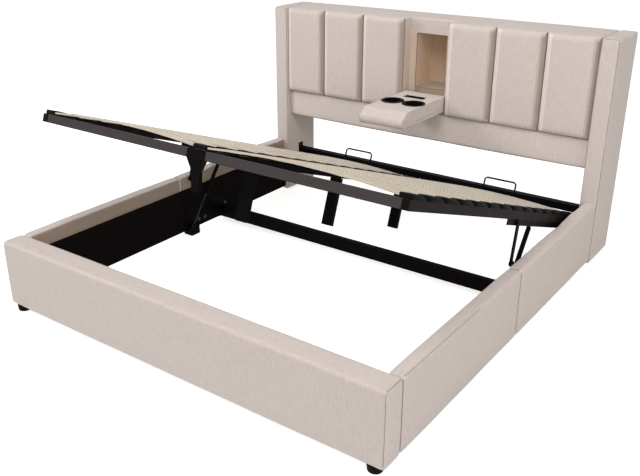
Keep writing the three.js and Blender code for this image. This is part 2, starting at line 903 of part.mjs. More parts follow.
// The leg under the seam of the rail, welded to the base plate.
function railLeg() {
  const start = railSeam + railLegBehindSeam;
  const end = start + railLegLength;
  const inner = railInner - railLegWidth;
  const post = block(inner, plateOuter, start, end, 0, basePlateBottom + railLegWeld);
  const sole = block(inner, railInner + railLegUnderRail, start, end, 0, railClearance - seat);
  return joined(post, sole);
}

function addLiftBase() {
  const [plate, bracketPlate] = liftPlates();
  const pivotHole = pinX(
    plateInner - overrun,
    plateOuter + overrun,
    pivotY,
    pivotZ,
    pivotRadius + running,
  );
  addPair(bed, "pivot_bracket", cutBy(bracketPlate, pivotHole), blackSteel);
  const armInner = lowerArmOuter - armThickness - running;
  const armPin = pinX(armInner, plateInner + overrun / 2, ...lowerBase, armPinRadius);
  const armHead = pinX(armInner - pinHeadThickness, armInner, ...lowerBase, pinHeadRadius);
  const strutX = beamOuter - sidePlateThickness - strutFromPlate;
  const studEnd = strutX - strutEyeWidth / 2 - running;
  const stud = pinX(studEnd, plateInner + overrun / 2, ...strutBase, armPinRadius);
  const studHead = pinX(studEnd - pinHeadThickness, studEnd, ...strutBase, pinHeadRadius);
  const base = joined(plate, railLeg(), armPin, armHead, stud, studHead);
  addPair(bed, "lift_base", base, blackSteel);
}

// The gas strut: the rod's eye is on the base stud and the cylinder's eye at the platform.
function addStruts() {
  const strutX = beamOuter - sidePlateThickness - strutFromPlate;
  const [y0, z0] = strutBase;
  const [y1, z1] = strutTop;
  const length = Math.hypot(y1 - y0, z1 - z0);
  const place = (geometry) =>
    geometry.rotateX(Math.atan2(z1 - z0, y1 - y0)).translate(strutX, y0, z0);
  const eye = (distance) =>
    cutBy(
      pinX(-strutEyeWidth / 2, strutEyeWidth / 2, distance, 0, strutEyeRadius),
      pinX(
        -strutEyeWidth / 2 - overrun,
        strutEyeWidth / 2 + overrun,
        distance,
        0,
        armPinRadius + running,
      ),
    );
  const cylinderEnd = length - strutEyeNeck;
  const cylinderStart = cylinderEnd - strutCylinderLength;
  const rodEnd = cylinderStart + strutEngagement;
  const inner = armPinRadius + 2 * running;
  const rodBar = new THREE.CylinderGeometry(
    strutRodRadius,
    strutRodRadius,
    rodEnd - inner,
    boreSides,
  ).translate(0, (rodEnd + inner) / 2, 0);
  addPair(bed, "strut_rod", place(joined(rodBar, eye(0))), greySteel);

  const boreDepth = strutCylinderLength - strutEyeNeck / 2;
  const barrel = new THREE.LatheGeometry(
    [
      [strutBoreRadius, cylinderStart],
      [strutCylinderRadius, cylinderStart],
      [strutCylinderRadius, cylinderEnd],
      [0, cylinderEnd],
      [0, cylinderStart + boreDepth],
      [strutBoreRadius, cylinderStart + boreDepth],
      [strutBoreRadius, cylinderStart],
    ].map(([r, y]) => new THREE.Vector2(r, y)),
    boreSides,
  );
  const neck = new THREE.CylinderGeometry(
    strutRodRadius,
    strutRodRadius,
    strutEyeNeck - inner + overrun,
    boreSides,
  ).translate(0, (cylinderEnd - overrun + length - inner) / 2, 0);
  addPair(bed, "strut_cylinder", place(joined(barrel, neck, eye(length))), blackSteel);
}

addFootboard();
addRails();
addCrossMembers();
addWings();
addHeadboard();
addChannels();
addArmrest();
addFootBeam();
addHeadBeam();
addCentreBeam();
addSideBeams();
addSlats();
addArms();
addLiftBase();
addStruts();

export default bed;
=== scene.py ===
"""Finishes and soft forms for an upholstered bed with a lifting slatted platform and a storage
headboard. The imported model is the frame, in metres: +X right, +Y to the head, +Z up."""

import json
import math

import bpy
import numpy as np
from mathutils import Matrix, Vector, noise


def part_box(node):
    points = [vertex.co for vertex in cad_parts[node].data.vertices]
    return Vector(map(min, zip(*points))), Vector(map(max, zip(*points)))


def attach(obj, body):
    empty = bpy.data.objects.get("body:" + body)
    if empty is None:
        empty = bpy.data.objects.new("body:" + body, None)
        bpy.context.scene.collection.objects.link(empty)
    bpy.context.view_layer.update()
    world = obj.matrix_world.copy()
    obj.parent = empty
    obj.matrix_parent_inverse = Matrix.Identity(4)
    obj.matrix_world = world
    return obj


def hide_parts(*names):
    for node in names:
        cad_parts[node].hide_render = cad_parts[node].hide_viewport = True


bl_info = {
    "name": "Storage Bed Looks",
    "version": (1, 0, 0),
    "blender": (4, 5, 0),
    "location": "View3D > Sidebar > Bed",
    "description": "Upholstery, steel, slats and studio for a bed with a lifting platform",
    "category": "Object",
}

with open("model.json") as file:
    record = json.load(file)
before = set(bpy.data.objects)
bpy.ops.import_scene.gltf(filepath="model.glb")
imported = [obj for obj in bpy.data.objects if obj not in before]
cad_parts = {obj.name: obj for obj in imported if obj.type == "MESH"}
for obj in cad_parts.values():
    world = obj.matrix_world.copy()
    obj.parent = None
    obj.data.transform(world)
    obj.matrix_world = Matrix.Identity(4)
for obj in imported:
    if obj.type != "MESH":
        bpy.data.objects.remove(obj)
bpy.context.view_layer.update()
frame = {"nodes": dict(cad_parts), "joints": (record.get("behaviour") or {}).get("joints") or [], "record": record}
SIDES = (("left", -1.0), ("right", 1.0))
SLAT_ROWS = sorted(name for name in frame["nodes"] if name.startswith("slat_row_"))
PAD_NAMES = sorted(name for name in frame["nodes"] if name.startswith("channel_pad_"))
CUPS = [(f"cup_liner_{side}", sign) for side, sign in SIDES]
# The raised platform's own directions: along it to the head, and up from it.
LIFT_RANGE = next(joint["range_deg"] for joint in frame["joints"] if joint["name"] == "platform_lift")
RAISED = Matrix.Rotation(-math.radians(LIFT_RANGE[1]), 3, "X")
ALONG, NORMAL = RAISED @ Vector((0, 1, 0)), RAISED @ Vector((0, 0, 1))

ROUND_TURNS = (45.0, 34.0, 23.0, 11.0)  # Where a rounded edge has points, in degrees round it.
EDGE_SINK = 0.293  # How deep the middle of a rounded edge lies, in radii.
BOARD_STEP, CREASED_STEP = 0.022, 0.0075  # Distance between the points of a cover.
PAD_PROUD = 0.0115  # How far a channel's back reaches behind its node.
CIRCLE_SIDES = 48
# Where seams start above a board's lower edge, and how far they stop short of its corners.
SEAM_START, SEAM_TOP, SEAM_END = 0.02, 0.010, 0.008
WING_START = 0.014  # Where a wing's cover starts above the floor, on its glides.
GLIDE_INSET, GLIDE_LENGTH, GLIDE_HEIGHT = 0.03, 0.036, 0.016
NICHE_LAP, NICHE_SIDE, NICHE_RISE = 0.0003, 0.004, 0.005  # How far its lining passes the opening.
# How far the armrest's box lies inside its node, its wells inside the cups, and its tray's cut outside.
BOX_INSET, WELL_INSET, TRAY_PLAY = 0.0165, 0.0085, 5e-4
STRIP_IN, STRIP_OUT = 0.0035, 0.0055  # How far the tray's end strips reach over it and past it.
PLUG_WIDTH, PLUG_OUT, PLUG_IN = 0.0303, 0.0025, 0.001
# Bolts: on a bracket beside its middle and above its edge, on the plate along it, in rows, and at its end.
BRACKET_STEP, BRACKET_RISE = 0.024, 0.016
PLATE_PLACES, PLATE_ROWS, PLATE_INSET = (0.05, 0.10), (0.073, 0.105), 0.022
# Folds over the rear rails: share of the length, run along it, width and height.
RAIL_FOLDS = (
    (0.035, 0.030, 0.012, 0.0020), (0.180, 0.045, 0.010, 0.0045), (0.207, 0.045, 0.0085, -0.0100),
    (0.280, 0.040, 0.011, 0.0045), (0.307, 0.040, 0.0085, -0.0110), (0.345, 0.050, 0.014, 0.0040),
    (0.56, 0.05, 0.045, -0.0060), (0.74, 0.06, 0.060, 0.0040), (0.93, -0.03, 0.016, -0.0025),
)
# A cup's rim from its well out: radius and rise.
CUP_RIM = (
    (0.0490, -0.0006), (0.0490, 0.0004), (0.0500, 0.0012), (0.0625, 0.0012), (0.0635, 0.0), (0.0635, -0.0006),
)
# A side slat holder seen from the side: along the platform from its slat, and up from the beam.
SCOOP = (
    (-0.0362, 0.0004), (-0.0362, 0.0160), (-0.0340, 0.0184), (-0.0300, 0.0190), (0.0330, 0.0190),
    (0.0400, 0.0175), (0.0560, 0.0105), (0.0690, 0.0070), (0.0700, 0.0004),
)
# A bolt's washer and head: sides, and for each ring its share of the height and of the radius.
BOLT_RINGS = (
    (24, ((0, 1.45), (0.2, 1.45), (0.27, 1.38))),
    (6, ((0.27, 1.0), (0.88, 1.0), (1.0, 0.86))),
)


# Sizes and colours that can be changed.


def colour_setting(name, description, default):
    return bpy.props.FloatVectorProperty(
        name=name, description=description, subtype="COLOR", size=3, min=0.0, max=1.0, default=default,
    )


def length_setting(name, description, default, least=0.0):
    return bpy.props.FloatProperty(
        name=name, description=description, unit="LENGTH", default=default, min=least,
    )


def share_setting(name, description, default):
    return bpy.props.FloatProperty(
        name=name, description=description, subtype="FACTOR", default=default, min=0.0, max=1.0,
    )


def power_setting(name, description, default):
    return bpy.props.FloatProperty(name=name, description=description, unit="POWER", default=default, min=0.0)


class BedFabricSettings(bpy.types.PropertyGroup):
    """Linen cover, its weave and the soft forms."""

    light_thread: colour_setting("Light thread", "Colour of the raised threads", (0.748, 0.677, 0.644))
    dark_thread: colour_setting("Dark thread", "Colour between the threads", (0.51, 0.441, 0.403))
    seam_colour: colour_setting("Seam colour", "Colour of the shaded seams and welts", (0.27, 0.19, 0.15))
    # The niche's brown threads and shares, and the recess's share, are painted warm shade: lighter on the niche's
    # sides, darker on its back and floor.
    niche_light: colour_setting("Niche light thread", "Raised threads inside the niche", (0.93, 0.735, 0.54))
    niche_dark: colour_setting("Niche dark thread", "Threads between them in the niche", (0.74, 0.53, 0.37))
    niche_shade: share_setting("Niche shade", "How light the niche's back is against its sides", 0.74)
    recess_share: share_setting("Recess share", "How light the brown around the niche is", 0.82)
    # Painted shade: darker brown threads for the rails' inner faces.
    inner_light: colour_setting("Inner light thread", "Raised threads in the rails", (0.385, 0.298, 0.232))
    inner_dark: colour_setting("Inner dark thread", "Threads between them there", (0.265, 0.198, 0.150))
    thread_pitch: length_setting("Thread pitch", "Distance from one thread to the next", 0.0019, 0.0005)
    slub_length: length_setting("Slub length", "Length of the thicker stretches of thread", 0.045, 0.005)
    edge_radius: length_setting("Edge radius", "Rounding of the padded edges", 0.017, 0.004)
    board_crown: length_setting("Board crown", "How far the flat panels swell in their middle", 0.003)
    wrinkle: length_setting("Wrinkle", "Height of the slack in the cover", 0.0011)
    channel_depth: length_setting("Channel depth", "Depth of the seams between the channels", 0.030, 0.005)
    channel_roll: length_setting("Channel roll", "Rounding of the channels at their ends", 0.030, 0.005)
    channel_round: length_setting("Channel rounding", "Where a channel starts to turn in", 0.044, 0.005)
    seam_ripple: length_setting("Seam ripple", "Height of the puckers along the seams", 0.0022)
    welt_radius: length_setting("Welt radius", "Radius of the sewn edge cords", 0.0024, 0.0005)


class BedHardwareSettings(bpy.types.PropertyGroup):
    """Steel, plastic, lining and slats."""

    black_steel: colour_setting("Black steel", "Powder coat of the inner frame", (0.0034, 0.0026, 0.0032))
    grey_steel: colour_setting("Grey steel", "Powder coat of the foot beam", (0.050, 0.043, 0.044))
    side_steel: colour_setting("Side steel", "Powder coat of the side beams", (0.0135, 0.0100, 0.0100))
    rod_steel: colour_setting("Rod steel", "Rod of the gas strut", (0.010, 0.010, 0.010))
    bolt_steel: colour_setting("Bolt steel", "Bolts of the base plates", (0.03, 0.029, 0.028))
    black_plastic: colour_setting("Black plastic", "Feet, cup liners and holders", (0.0045, 0.0040, 0.0040))
    lining: colour_setting("Lining", "Non-woven lining of the rails", (0.0036, 0.0028, 0.0028))
    slat_light: colour_setting("Light wood", "Early wood of the slats", (0.500, 0.446, 0.362))
    slat_dark: colour_setting("Dark wood", "Late wood of the slats", (0.425, 0.372, 0.292))
    edge_break: length_setting("Edge break", "Rounding of the steel and plastic edges", 0.0007, 0.0001)
    bolt_radius: length_setting("Bolt radius", "Half the width across a bolt head's corners", 0.0075, 0.002)


class BedStageSettings(bpy.types.PropertyGroup):
    """Camera, lamps and floor."""

    camera_place: bpy.props.FloatVectorProperty(
        name="Camera place", description="Where the camera stands", subtype="TRANSLATION",
        size=3, default=(2.1442, -3.1198, 1.8714),
    )
    camera_turn: bpy.props.FloatVectorProperty(
        name="Camera turn", description="The camera's angles", subtype="EULER", size=3,
        default=(math.radians(67.0292), math.radians(0.4511), math.radians(36.7888)),
    )
    lens: bpy.props.FloatProperty(
        name="Lens", description="Focal length on a sensor 36 mm wide", unit="CAMERA", default=45.67,
    )
    shift: bpy.props.FloatVectorProperty(
        name="Shift", description="Sideways and upward shift of the lens", size=2, default=(0.0344, -0.0147),
    )
    key_power: power_setting("Key lamp", "Power of the lamp at the front left", 225.0)
    head_power: power_setting("Head lamp", "Power of the lamp over the foot, aimed at the headboard", 68.0)
    front_power: power_setting("Front lamp", "Power of the soft lamp at the front right", 88.0)
    side_power: power_setting("Side lamp", "Power of the soft lamp at the right", 100.0)
    top_power: power_setting("Top lamp", "Power of the soft lamp above", 45.0)
    warm_light: colour_setting("Warm light", "Colour of the head lamp and of the room", (1.0, 0.962, 0.925))
    world_light: share_setting("Room light", "Strength of the even light all round", 0.42)
    floor_colour: colour_setting("Floor", "Colour of the floor", (0.86, 0.86, 0.86))


# Node helpers.


def add_node(tree, kind, **sockets):
    """Adds a node. A name is a property, a socket's label, or i and its number, and a value that
    is a socket is linked."""
    made = tree.nodes.new(kind)
    for name, value in sockets.items():
        if hasattr(made, name):
            setattr(made, name, value)
            continue
        numbered = name[0] == "i" and name[1:].isdigit()
        target = made.inputs[int(name[1:]) if numbered else name.replace("_", " ")]
        if isinstance(value, bpy.types.NodeSocket):
            tree.links.new(value, target)
        else:
            target.default_value = value
    return made


def maths(tree, operation, first, second=0.0, clamp=False):
    made = add_node(tree, "ShaderNodeMath", operation=operation, use_clamp=clamp, i0=first, i1=second)
    return made.outputs[0]


def times(tree, first, second):
    return maths(tree, "MULTIPLY", first, second)


def plus(tree, first, second):
    return maths(tree, "ADD", first, second)


def part_way(tree, share, first, second, clamp=False):
    """A value between first and second."""
    kept = times(tree, first, maths(tree, "SUBTRACT", 1.0, share))
    return maths(tree, "ADD", kept, times(tree, second, share), clamp)


def ranged(tree, value, low, high, to_low=0.0, to_high=1.0):
    """The value's place between low and high, as a value between to_low and to_high."""
    return add_node(
        tree, "ShaderNodeMapRange", Value=value, From_Min=low, From_Max=high, To_Min=to_low, To_Max=to_high,
    ).outputs[0]


def mixed(tree, share, first, second):
    """A colour between first and second."""
    first, second = (
        value if isinstance(value, bpy.types.NodeSocket) else (*value[:3], 1.0) for value in (first, second)
    )
    return add_node(tree, "ShaderNodeMix", data_type="RGBA", i0=share, i6=first, i7=second).outputs[2]


def noise_at(tree, vector, scale, detail=2.0, roughness=0.5):
    return add_node(
        tree, "ShaderNodeTexNoise", Vector=vector, Scale=scale, Detail=detail, Roughness=roughness,
    ).outputs[0]


def axes_of(tree, vector):
    return add_node(tree, "ShaderNodeSeparateXYZ", Vector=vector).outputs


def group_in(tree, group, **values):
    return add_node(tree, "ShaderNodeGroup", node_tree=group, **values).outputs


def new_group(name, inputs, outputs):
    """A shader node group. Inputs without a default are vectors, and all the rest are values."""
    group = bpy.data.node_groups.new(name, "ShaderNodeTree")
    for label, default in inputs.items():
        kind = "NodeSocketVector" if default is None else "NodeSocketFloat"
        socket = group.interface.new_socket(name=label, in_out="INPUT", socket_type=kind)
        if default is not None:
            socket.default_value = default
    for label in outputs:
        group.interface.new_socket(name=label, in_out="OUTPUT", socket_type="NodeSocketFloat")
    return group, group.nodes.new("NodeGroupInput").outputs


def put_out(group, **values):
    """Links values to the group's outputs."""
    end = group.nodes.new("NodeGroupOutput").inputs
    for label, value in values.items():
        group.links.new(value, end[label.replace("_", " ")])
    return group


def made_once(maker):
    """Calls the maker of a node group the first time, and gives the same group after that."""

    def give():
        return bpy.data.node_groups.get(maker.__name__) or maker(maker.__name__)

    return give


def flat_place(group, start):
    """Two coordinates that lie in the surface, whichever way it faces, in metres."""
    place = axes_of(group, start["Place"])
    size = [maths(group, "ABSOLUTE", part) for part in axes_of(group, start["Facing"])]
    side = maths(group, "GREATER_THAN", size[0], maths(group, "MAXIMUM", size[1], size[2]))
    top = maths(group, "GREATER_THAN", size[2], maths(group, "MAXIMUM", size[0], size[1]))
    return part_way(group, side, place[0], place[1]), part_way(group, top, place[2], place[1])


@made_once
def linen_weave(name):
    """Plain weave with slubs. Tone is 1 on raised threads, and Height is for a bump."""
    group, start = new_group(
        name, {"Place": None, "Facing": None, "Threads": 520.0, "Slub stretch": 22.0, "Slub share": 0.55},
        ("Tone", "Height", "Streaks"),
    )
    across, along = flat_place(group, start)
    turn = times(group, start["Threads"], 2 * math.pi)
    warp, weft = (maths(group, "SINE", times(group, way, turn)) for way in (across, along))
    stretch = start["Slub stretch"]

    def streaks(long_way, short_way, finer):
        flat = add_node(
            group, "ShaderNodeCombineXYZ",
            X=times(group, long_way, stretch), Y=times(group, short_way, times(group, stretch, finer)),
        )
        return noise_at(group, flat.outputs[0], 1.0, 3.0, 0.6)

    def both_ways(finer, upright_share):
        upright = times(group, streaks(along, across, finer), upright_share)
        return plus(group, upright, times(group, streaks(across, along, finer), 1 - upright_share))

    slubs = ranged(group, both_ways(14.0, 0.62), 0.34, 0.66)
    raised = plus(group, times(group, times(group, warp, weft), 0.5), 0.5)
    tone = part_way(group, start["Slub share"], raised, slubs, clamp=True)
    height = plus(group, tone, times(group, raised, 0.6))
    return put_out(group, Tone=tone, Height=height, Streaks=both_ways(4.5, 0.6))


@made_once
def powder_coat(name):
    """Powder coat: a fine orange peel, slightly dusty where it faces up."""
    group, start = new_group(
        name, {"Place": None, "Facing": None, "Grain": 900.0, "Dust share": 0.25}, ("Dust", "Peel", "Rough"),
    )
    cloud = noise_at(group, start["Place"], 9.0, 4.0, 0.6)
    upward = maths(group, "MAXIMUM", axes_of(group, start["Facing"])[2], 0.0)
    return put_out(
        group, Dust=times(group, times(group, upward, cloud), start["Dust share"]),
        Peel=noise_at(group, start["Place"], start["Grain"]),
        Rough=ranged(group, cloud, 0.0, 1.0, 0.38, 0.58),
    )


@made_once
def slat_grain(name):
    """Wood grain along X, with fine pores and broad growth bands."""
    group, start = new_group(name, {"Place": None, "Bands": 60.0}, ("Late wood", "Height"))
    squeezed = add_node(
        group, "ShaderNodeVectorMath", operation="MULTIPLY", i0=start["Place"], i1=(0.045, 1.0, 1.0),
    ).outputs[0]
    late = ranged(group, noise_at(group, squeezed, start["Bands"], 4.0, 0.62), 0.36, 0.68)
    pores = noise_at(group, squeezed, 900.0)
    both = maths(group, "ADD", times(group, late, 0.85), times(group, pores, 0.12), clamp=True)
    return put_out(group, Late_wood=both, Height=pores)


@made_once
def pressed_fibre(name):
    """Non-woven lining: short fibres pressed flat, with a dimple pattern."""
    group, start = new_group(name, {"Place": None, "Fibres": 420.0}, ("Tone", "Height"))
    fibres = noise_at(group, start["Place"], start["Fibres"], 5.0, 0.7)
    cells = add_node(group, "ShaderNodeTexVoronoi", Vector=start["Place"], Scale=260.0)
    return put_out(group, Tone=fibres, Height=plus(group, fibres, cells.outputs[0]))


# Finishes.


def shaded(colour, share):
    return [part * share for part in colour]


def between(first, second, share):
    return [a + (b - a) * share for a, b in zip(first, second)]


def new_finish(name, **constants):
    """A material, its nodes, its shader's inputs with their constant values, and place and facing."""
    made = bpy.data.materials.new(name)
    made.use_nodes = True
    tree = made.node_tree
    shader = tree.nodes["Principled BSDF"].inputs
    for label, value in constants.items():
        shader[label.replace("_", " ")].default_value = value
    coordinates = tree.nodes.new("ShaderNodeTexCoord").outputs
    return made, tree, shader, coordinates["Object"], coordinates["Normal"]


def surface(tree, shader, colour, height, distance, strength):
    """Links a finish's colour and its bump."""
    tree.links.new(colour, shader["Base Color"])
    bump = add_node(tree, "ShaderNodeBump", Strength=strength, Distance=distance, Height=height)
    tree.links.new(bump.outputs[0], shader["Normal"])


def linen(name="linen", light=None, dark=None):
    """Upholstery linen, in the main colours or in its own."""
    if name in bpy.data.materials:
        return bpy.data.materials[name]
    cloth = bpy.context.scene.bed_fabric
    light, dark = light or cloth.light_thread, dark or cloth.dark_thread
    made, tree, shader, place, facing = new_finish(
        name, Roughness=0.92, Sheen_Weight=0.25, Sheen_Roughness=0.6, Specular_IOR_Level=0.2,
    )
    weave = group_in(
        tree, linen_weave(), Place=place, Facing=facing,
        Threads=1.0 / cloth.thread_pitch, Slub_stretch=1.0 / cloth.slub_length,
    )
    thread = mixed(tree, weave["Tone"], dark, light)
    streaked = mixed(tree, ranged(tree, weave["Streaks"], 0.40, 0.62, to_high=0.34), thread, dark)
    worn = ranged(tree, noise_at(tree, place, 7.0, 3.0, 0.55), 0.3, 0.7, to_high=0.16)
    colour = mixed(tree, worn, streaked, shaded(light, 0.86))
    surface(tree, shader, colour, weave["Height"], 0.0009, 0.7)
    return made


def seam_linen():
    """The shaded cloth of seams and welts."""
    colour = bpy.context.scene.bed_fabric.seam_colour
    return linen("seam_linen", shaded(colour, 1.25), shaded(colour, 0.75))


def groove_linen(name="groove_linen", share=0.62):
    """Cloth painted with shade part of the way down into a seam, nearer the seam colour as the share grows. With a
    share below 0, it is a little lighter, as painted light.
    """
    cloth = bpy.context.scene.bed_fabric
    light = between(cloth.light_thread, cloth.seam_colour, share)
    return linen(name, light, between(cloth.dark_thread, shaded(cloth.seam_colour, 0.75), share))


def shoulder_linen():
    """Painted shade on the cloth where a channel starts to turn in."""
    return groove_linen("shoulder_linen", 0.28)


def niche_linen(name="niche_linen", share=1.0):
    """The niche's cloth, painted in warm brown shade. A lower share is deeper painted shade."""
    cloth = bpy.context.scene.bed_fabric
    return linen(name, shaded(cloth.niche_light, share), shaded(cloth.niche_dark, share))


def niche_floor_linen():
    """The darkest painted shade of the niche, on its floor and on the strip just below it."""
    return niche_linen("niche_floor_linen", bpy.context.scene.bed_fabric.niche_shade * 0.65)


def recess_linen():
    """Painted shade on the cloth around the niche, between the niche's painted brown and the pale cover."""
    cloth = bpy.context.scene.bed_fabric
    light = between(cloth.light_thread, shaded(cloth.niche_light, cloth.recess_share), 0.5)
    dark = between(cloth.dark_thread, shaded(cloth.niche_dark, cloth.recess_share), 0.5)
    return linen("recess_linen", light, dark)


# A darker copy of the linen, as painted shade on the rails' inner faces.
def inner_linen():
    cloth = bpy.context.scene.bed_fabric
    return linen("inner_linen", cloth.inner_light, cloth.inner_dark)


def coated(
    name, colour, dust, rough=None, gloss=0.02, grain=900.0, dust_rise=0.10, peel=(0.00025, 0.35),
    below=None, band=None,
):
    """A powder coat or a moulded plastic. It is black below the height given in the platform's own
    direction, and within the band given across its middle."""
    if name in bpy.data.materials:
        return bpy.data.materials[name]
    made, tree, shader, place, facing = new_finish(name, Specular_IOR_Level=gloss)
    coat = group_in(tree, powder_coat(), Place=place, Facing=facing, Grain=grain, Dust_share=dust)
    tone = mixed(tree, coat["Dust"], colour, [min(1.0, part + dust_rise) for part in colour])
    if below is not None:
        height = add_node(tree, "ShaderNodeVectorMath", operation="DOT_PRODUCT", i0=place, i1=tuple(NORMAL))
        black = maths(tree, "LESS_THAN", height.outputs["Value"], below)
        if band is not None:
            across = maths(tree, "ABSOLUTE", axes_of(tree, place)[0])
            black = maths(tree, "MAXIMUM", black, maths(tree, "LESS_THAN", across, band))
        tone = mixed(tree, black, tone, bpy.context.scene.bed_hardware.black_steel)
    if rough is None:
        tree.links.new(coat["Rough"], shader["Roughness"])
    else:
        shader["Roughness"].default_value = rough
    surface(tree, shader, tone, coat["Peel"], *peel)
    return made


def black_steel():
    return coated("black_coat", bpy.context.scene.bed_hardware.black_steel, 0.02)


def black_plastic():
    colour = bpy.context.scene.bed_hardware.black_plastic
    return coated("black_moulding", colour, 0.03, 0.5, 0.03, grain=2600.0, dust_rise=0.08, peel=(0.0001, 0.5))


def slat_wood():
    parts = bpy.context.scene.bed_hardware
    made, tree, shader, place, _ = new_finish(
        "slat_wood", Roughness=0.5, Coat_Roughness=0.35, Coat_Weight=0.06,
    )
    grain = group_in(tree, slat_grain(), Place=place)
    tone = mixed(tree, grain["Late wood"], parts.slat_light, parts.slat_dark)
    surface(tree, shader, tone, grain["Height"], 0.0002, 0.2)
    return made


def lining_felt():
    colour = bpy.context.scene.bed_hardware.lining
    made, tree, shader, place, _ = new_finish("lining_felt", Roughness=0.9, Specular_IOR_Level=0.04)
    felt = group_in(tree, pressed_fibre(), Place=place)
    tone = mixed(tree, felt["Tone"], shaded(colour, 0.7), shaded(colour, 1.9))
    surface(tree, shader, tone, felt["Height"], 0.0004, 0.5)
    return made


# Mesh helpers. A form is a list of points and a list of faces.


def new_piece(name, points, faces, finish, smooth_angle=None):
    """An object from a form. Edges sharper than the angle stay sharp."""
    mesh = bpy.data.meshes.new(name)
    mesh.from_pydata([tuple(point) for point in points], [], faces)
    mesh.validate()
    mesh.polygons.foreach_set("use_smooth", [True] * len(mesh.polygons))
    if smooth_angle is not None:
        mesh.set_sharp_from_angle(angle=math.radians(smooth_angle))
    mesh.materials.append(finish)
    made = bpy.data.objects.new(name, mesh)
    bpy.context.scene.collection.objects.link(made)
    return made


def settle(piece, body, *nodes, slot="upholstery", fill=None):
    """Puts a finished piece on its body, in place of the nodes that it stands for."""
    if nodes:
        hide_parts(*nodes)
    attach(piece, body)
    return piece


def add_piece(name, form, finish, body, *nodes, smooth_angle=None, **settings):
    """Makes a piece from a form, and settles it."""
    return settle(new_piece(name, *form, finish, smooth_angle), body, *nodes, **settings)


def clad(piece, finishes, choose):
    """Adds finishes to a piece's own, and gives each face the one whose number choose returns."""
    for finish in finishes:
        piece.data.materials.append(finish)
    for face in piece.data.polygons:
        face.material_index = choose(face)


def gathered(forms):
    """One form from several."""
    points, faces = [], []
    for form_points, form_faces in forms:
        first = len(points)
        points.extend(tuple(point) for point in form_points)
        faces.extend([first + index for index in face] for face in form_faces)
    return points, faces


def ring_faces(near, far, sides, shift=0):
    """The faces between two rings of points, which start at near and at far."""
    faces = []
    for turn in range(sides):
        after = (turn + 1) % sides
        faces.append([near + turn, near + after, far + (after + shift) % sides, far + (turn + shift) % sides])
    return faces


def circle(centre, radius, height):
    """The points of a level circle."""
    turns = [2 * math.pi * turn / CIRCLE_SIDES for turn in range(CIRCLE_SIDES)]
    return [
        (centre[0] + radius * math.cos(turn), centre[1] + radius * math.sin(turn), height) for turn in turns
    ]


def axis_stops(low, high, radius, step, extra):
    """Places along one axis: close together in the rounded ends, and even between them."""
    turns = [radius * (1 - math.tan(math.radians(angle))) for angle in ROUND_TURNS]
    count = max(1, round((high - low - 2 * radius) / step))
    middle = list(np.linspace(low + radius, high - radius, count + 1))
    for place in extra:
        nearest = min(range(len(middle)), key=lambda index: abs(middle[index] - place))
        middle[nearest] = place
    return [low + turn for turn in turns] + middle + [high - turn for turn in reversed(turns)]


def soft_block(low, high, radius, step, extra=((), (), ()), keep=None):
    """Points, outward directions and faces of a box whose edges and corners are rounded. extra
    has more places for points on each axis, and keep(centre, axis, side) says which faces stay."""
    low, high = np.array(low, float), np.array(high, float)
    radius = min(radius, 0.499 * float((high - low).min()))
    stops = [axis_stops(low[a], high[a], radius, step, extra[a]) for a in range(3)]
    found, faces = {}, []
    for axis in range(3):
        u, v = (axis + 1) % 3, (axis + 2) % 3
        for side, fixed in ((-1, 0), (1, len(stops[axis]) - 1)):
            for i in range(len(stops[u]) - 1):
                for j in range(len(stops[v]) - 1):
                    ring = []
                    for du, dv in ((0, 0), (1, 0), (1, 1), (0, 1)):
                        index = [0, 0, 0]
                        index[axis], index[u], index[v] = fixed, i + du, j + dv
                        ring.append(tuple(index))
                    if keep is not None:
                        centre = [sum(stops[a][index[a]] for index in ring) / 4 for a in range(3)]
                        if not keep(centre, axis, side):
                            continue
                    ring = [found.setdefault(index, len(found)) for index in ring]
                    faces.append(ring if side > 0 else ring[::-1])
    raw = np.array([[stops[a][index[a]] for a in range(3)] for index in found])
    inner = np.clip(raw, low + radius, high - radius)
    away = raw - inner
    outward = away / np.linalg.norm(away, axis=1)[:, None]
    return inner + outward * radius, outward, faces


def block_form(low, high, radius, step):
    """A rounded box as a form."""
    points, _, faces = soft_block(low, high, radius, step)
    return points, faces


def swell(points, outward, low, high, height, power=4):
    """Moves each side of a block out in its middle, and leaves its edges where they are."""
    low, high = np.array(low), np.array(high)
    share = np.abs((points - (low + high) / 2) / ((high - low) / 2)) ** power
    weight = np.prod(1 - (1 - np.abs(outward)) * np.clip(share, 0, 1), axis=1)
    return points + outward * (weight * height)[:, None]


def waves(points, grain, shift=(0.0, 0.0, 0.0)):
    """Smooth noise at the points. grain is waves per metre along each axis."""
    return np.array([noise.noise(Vector(place)) for place in (np.array(points) * grain + shift).tolist()])


def slack(points, outward, height, grain, seed=0.0):
    """Shallow waves in the cover."""
    return points + outward * (waves(points, grain, (seed, 0.0, 0.0)) * height)[:, None]


def crease(points, outward, start, end, width, height):
    """A short fold from start to end, which fades out at both ends."""
    start, end = np.array(start), np.array(end)
    run = end - start
    share = np.clip((points - start) @ run / (run @ run), 0, 1)
    gap = np.linalg.norm(points - (start + share[:, None] * run), axis=1)
    rise = height * np.exp(-((gap / width) ** 2)) * np.sin(np.pi * (0.1 + 0.8 * share))
    return points + outward * rise[:, None]


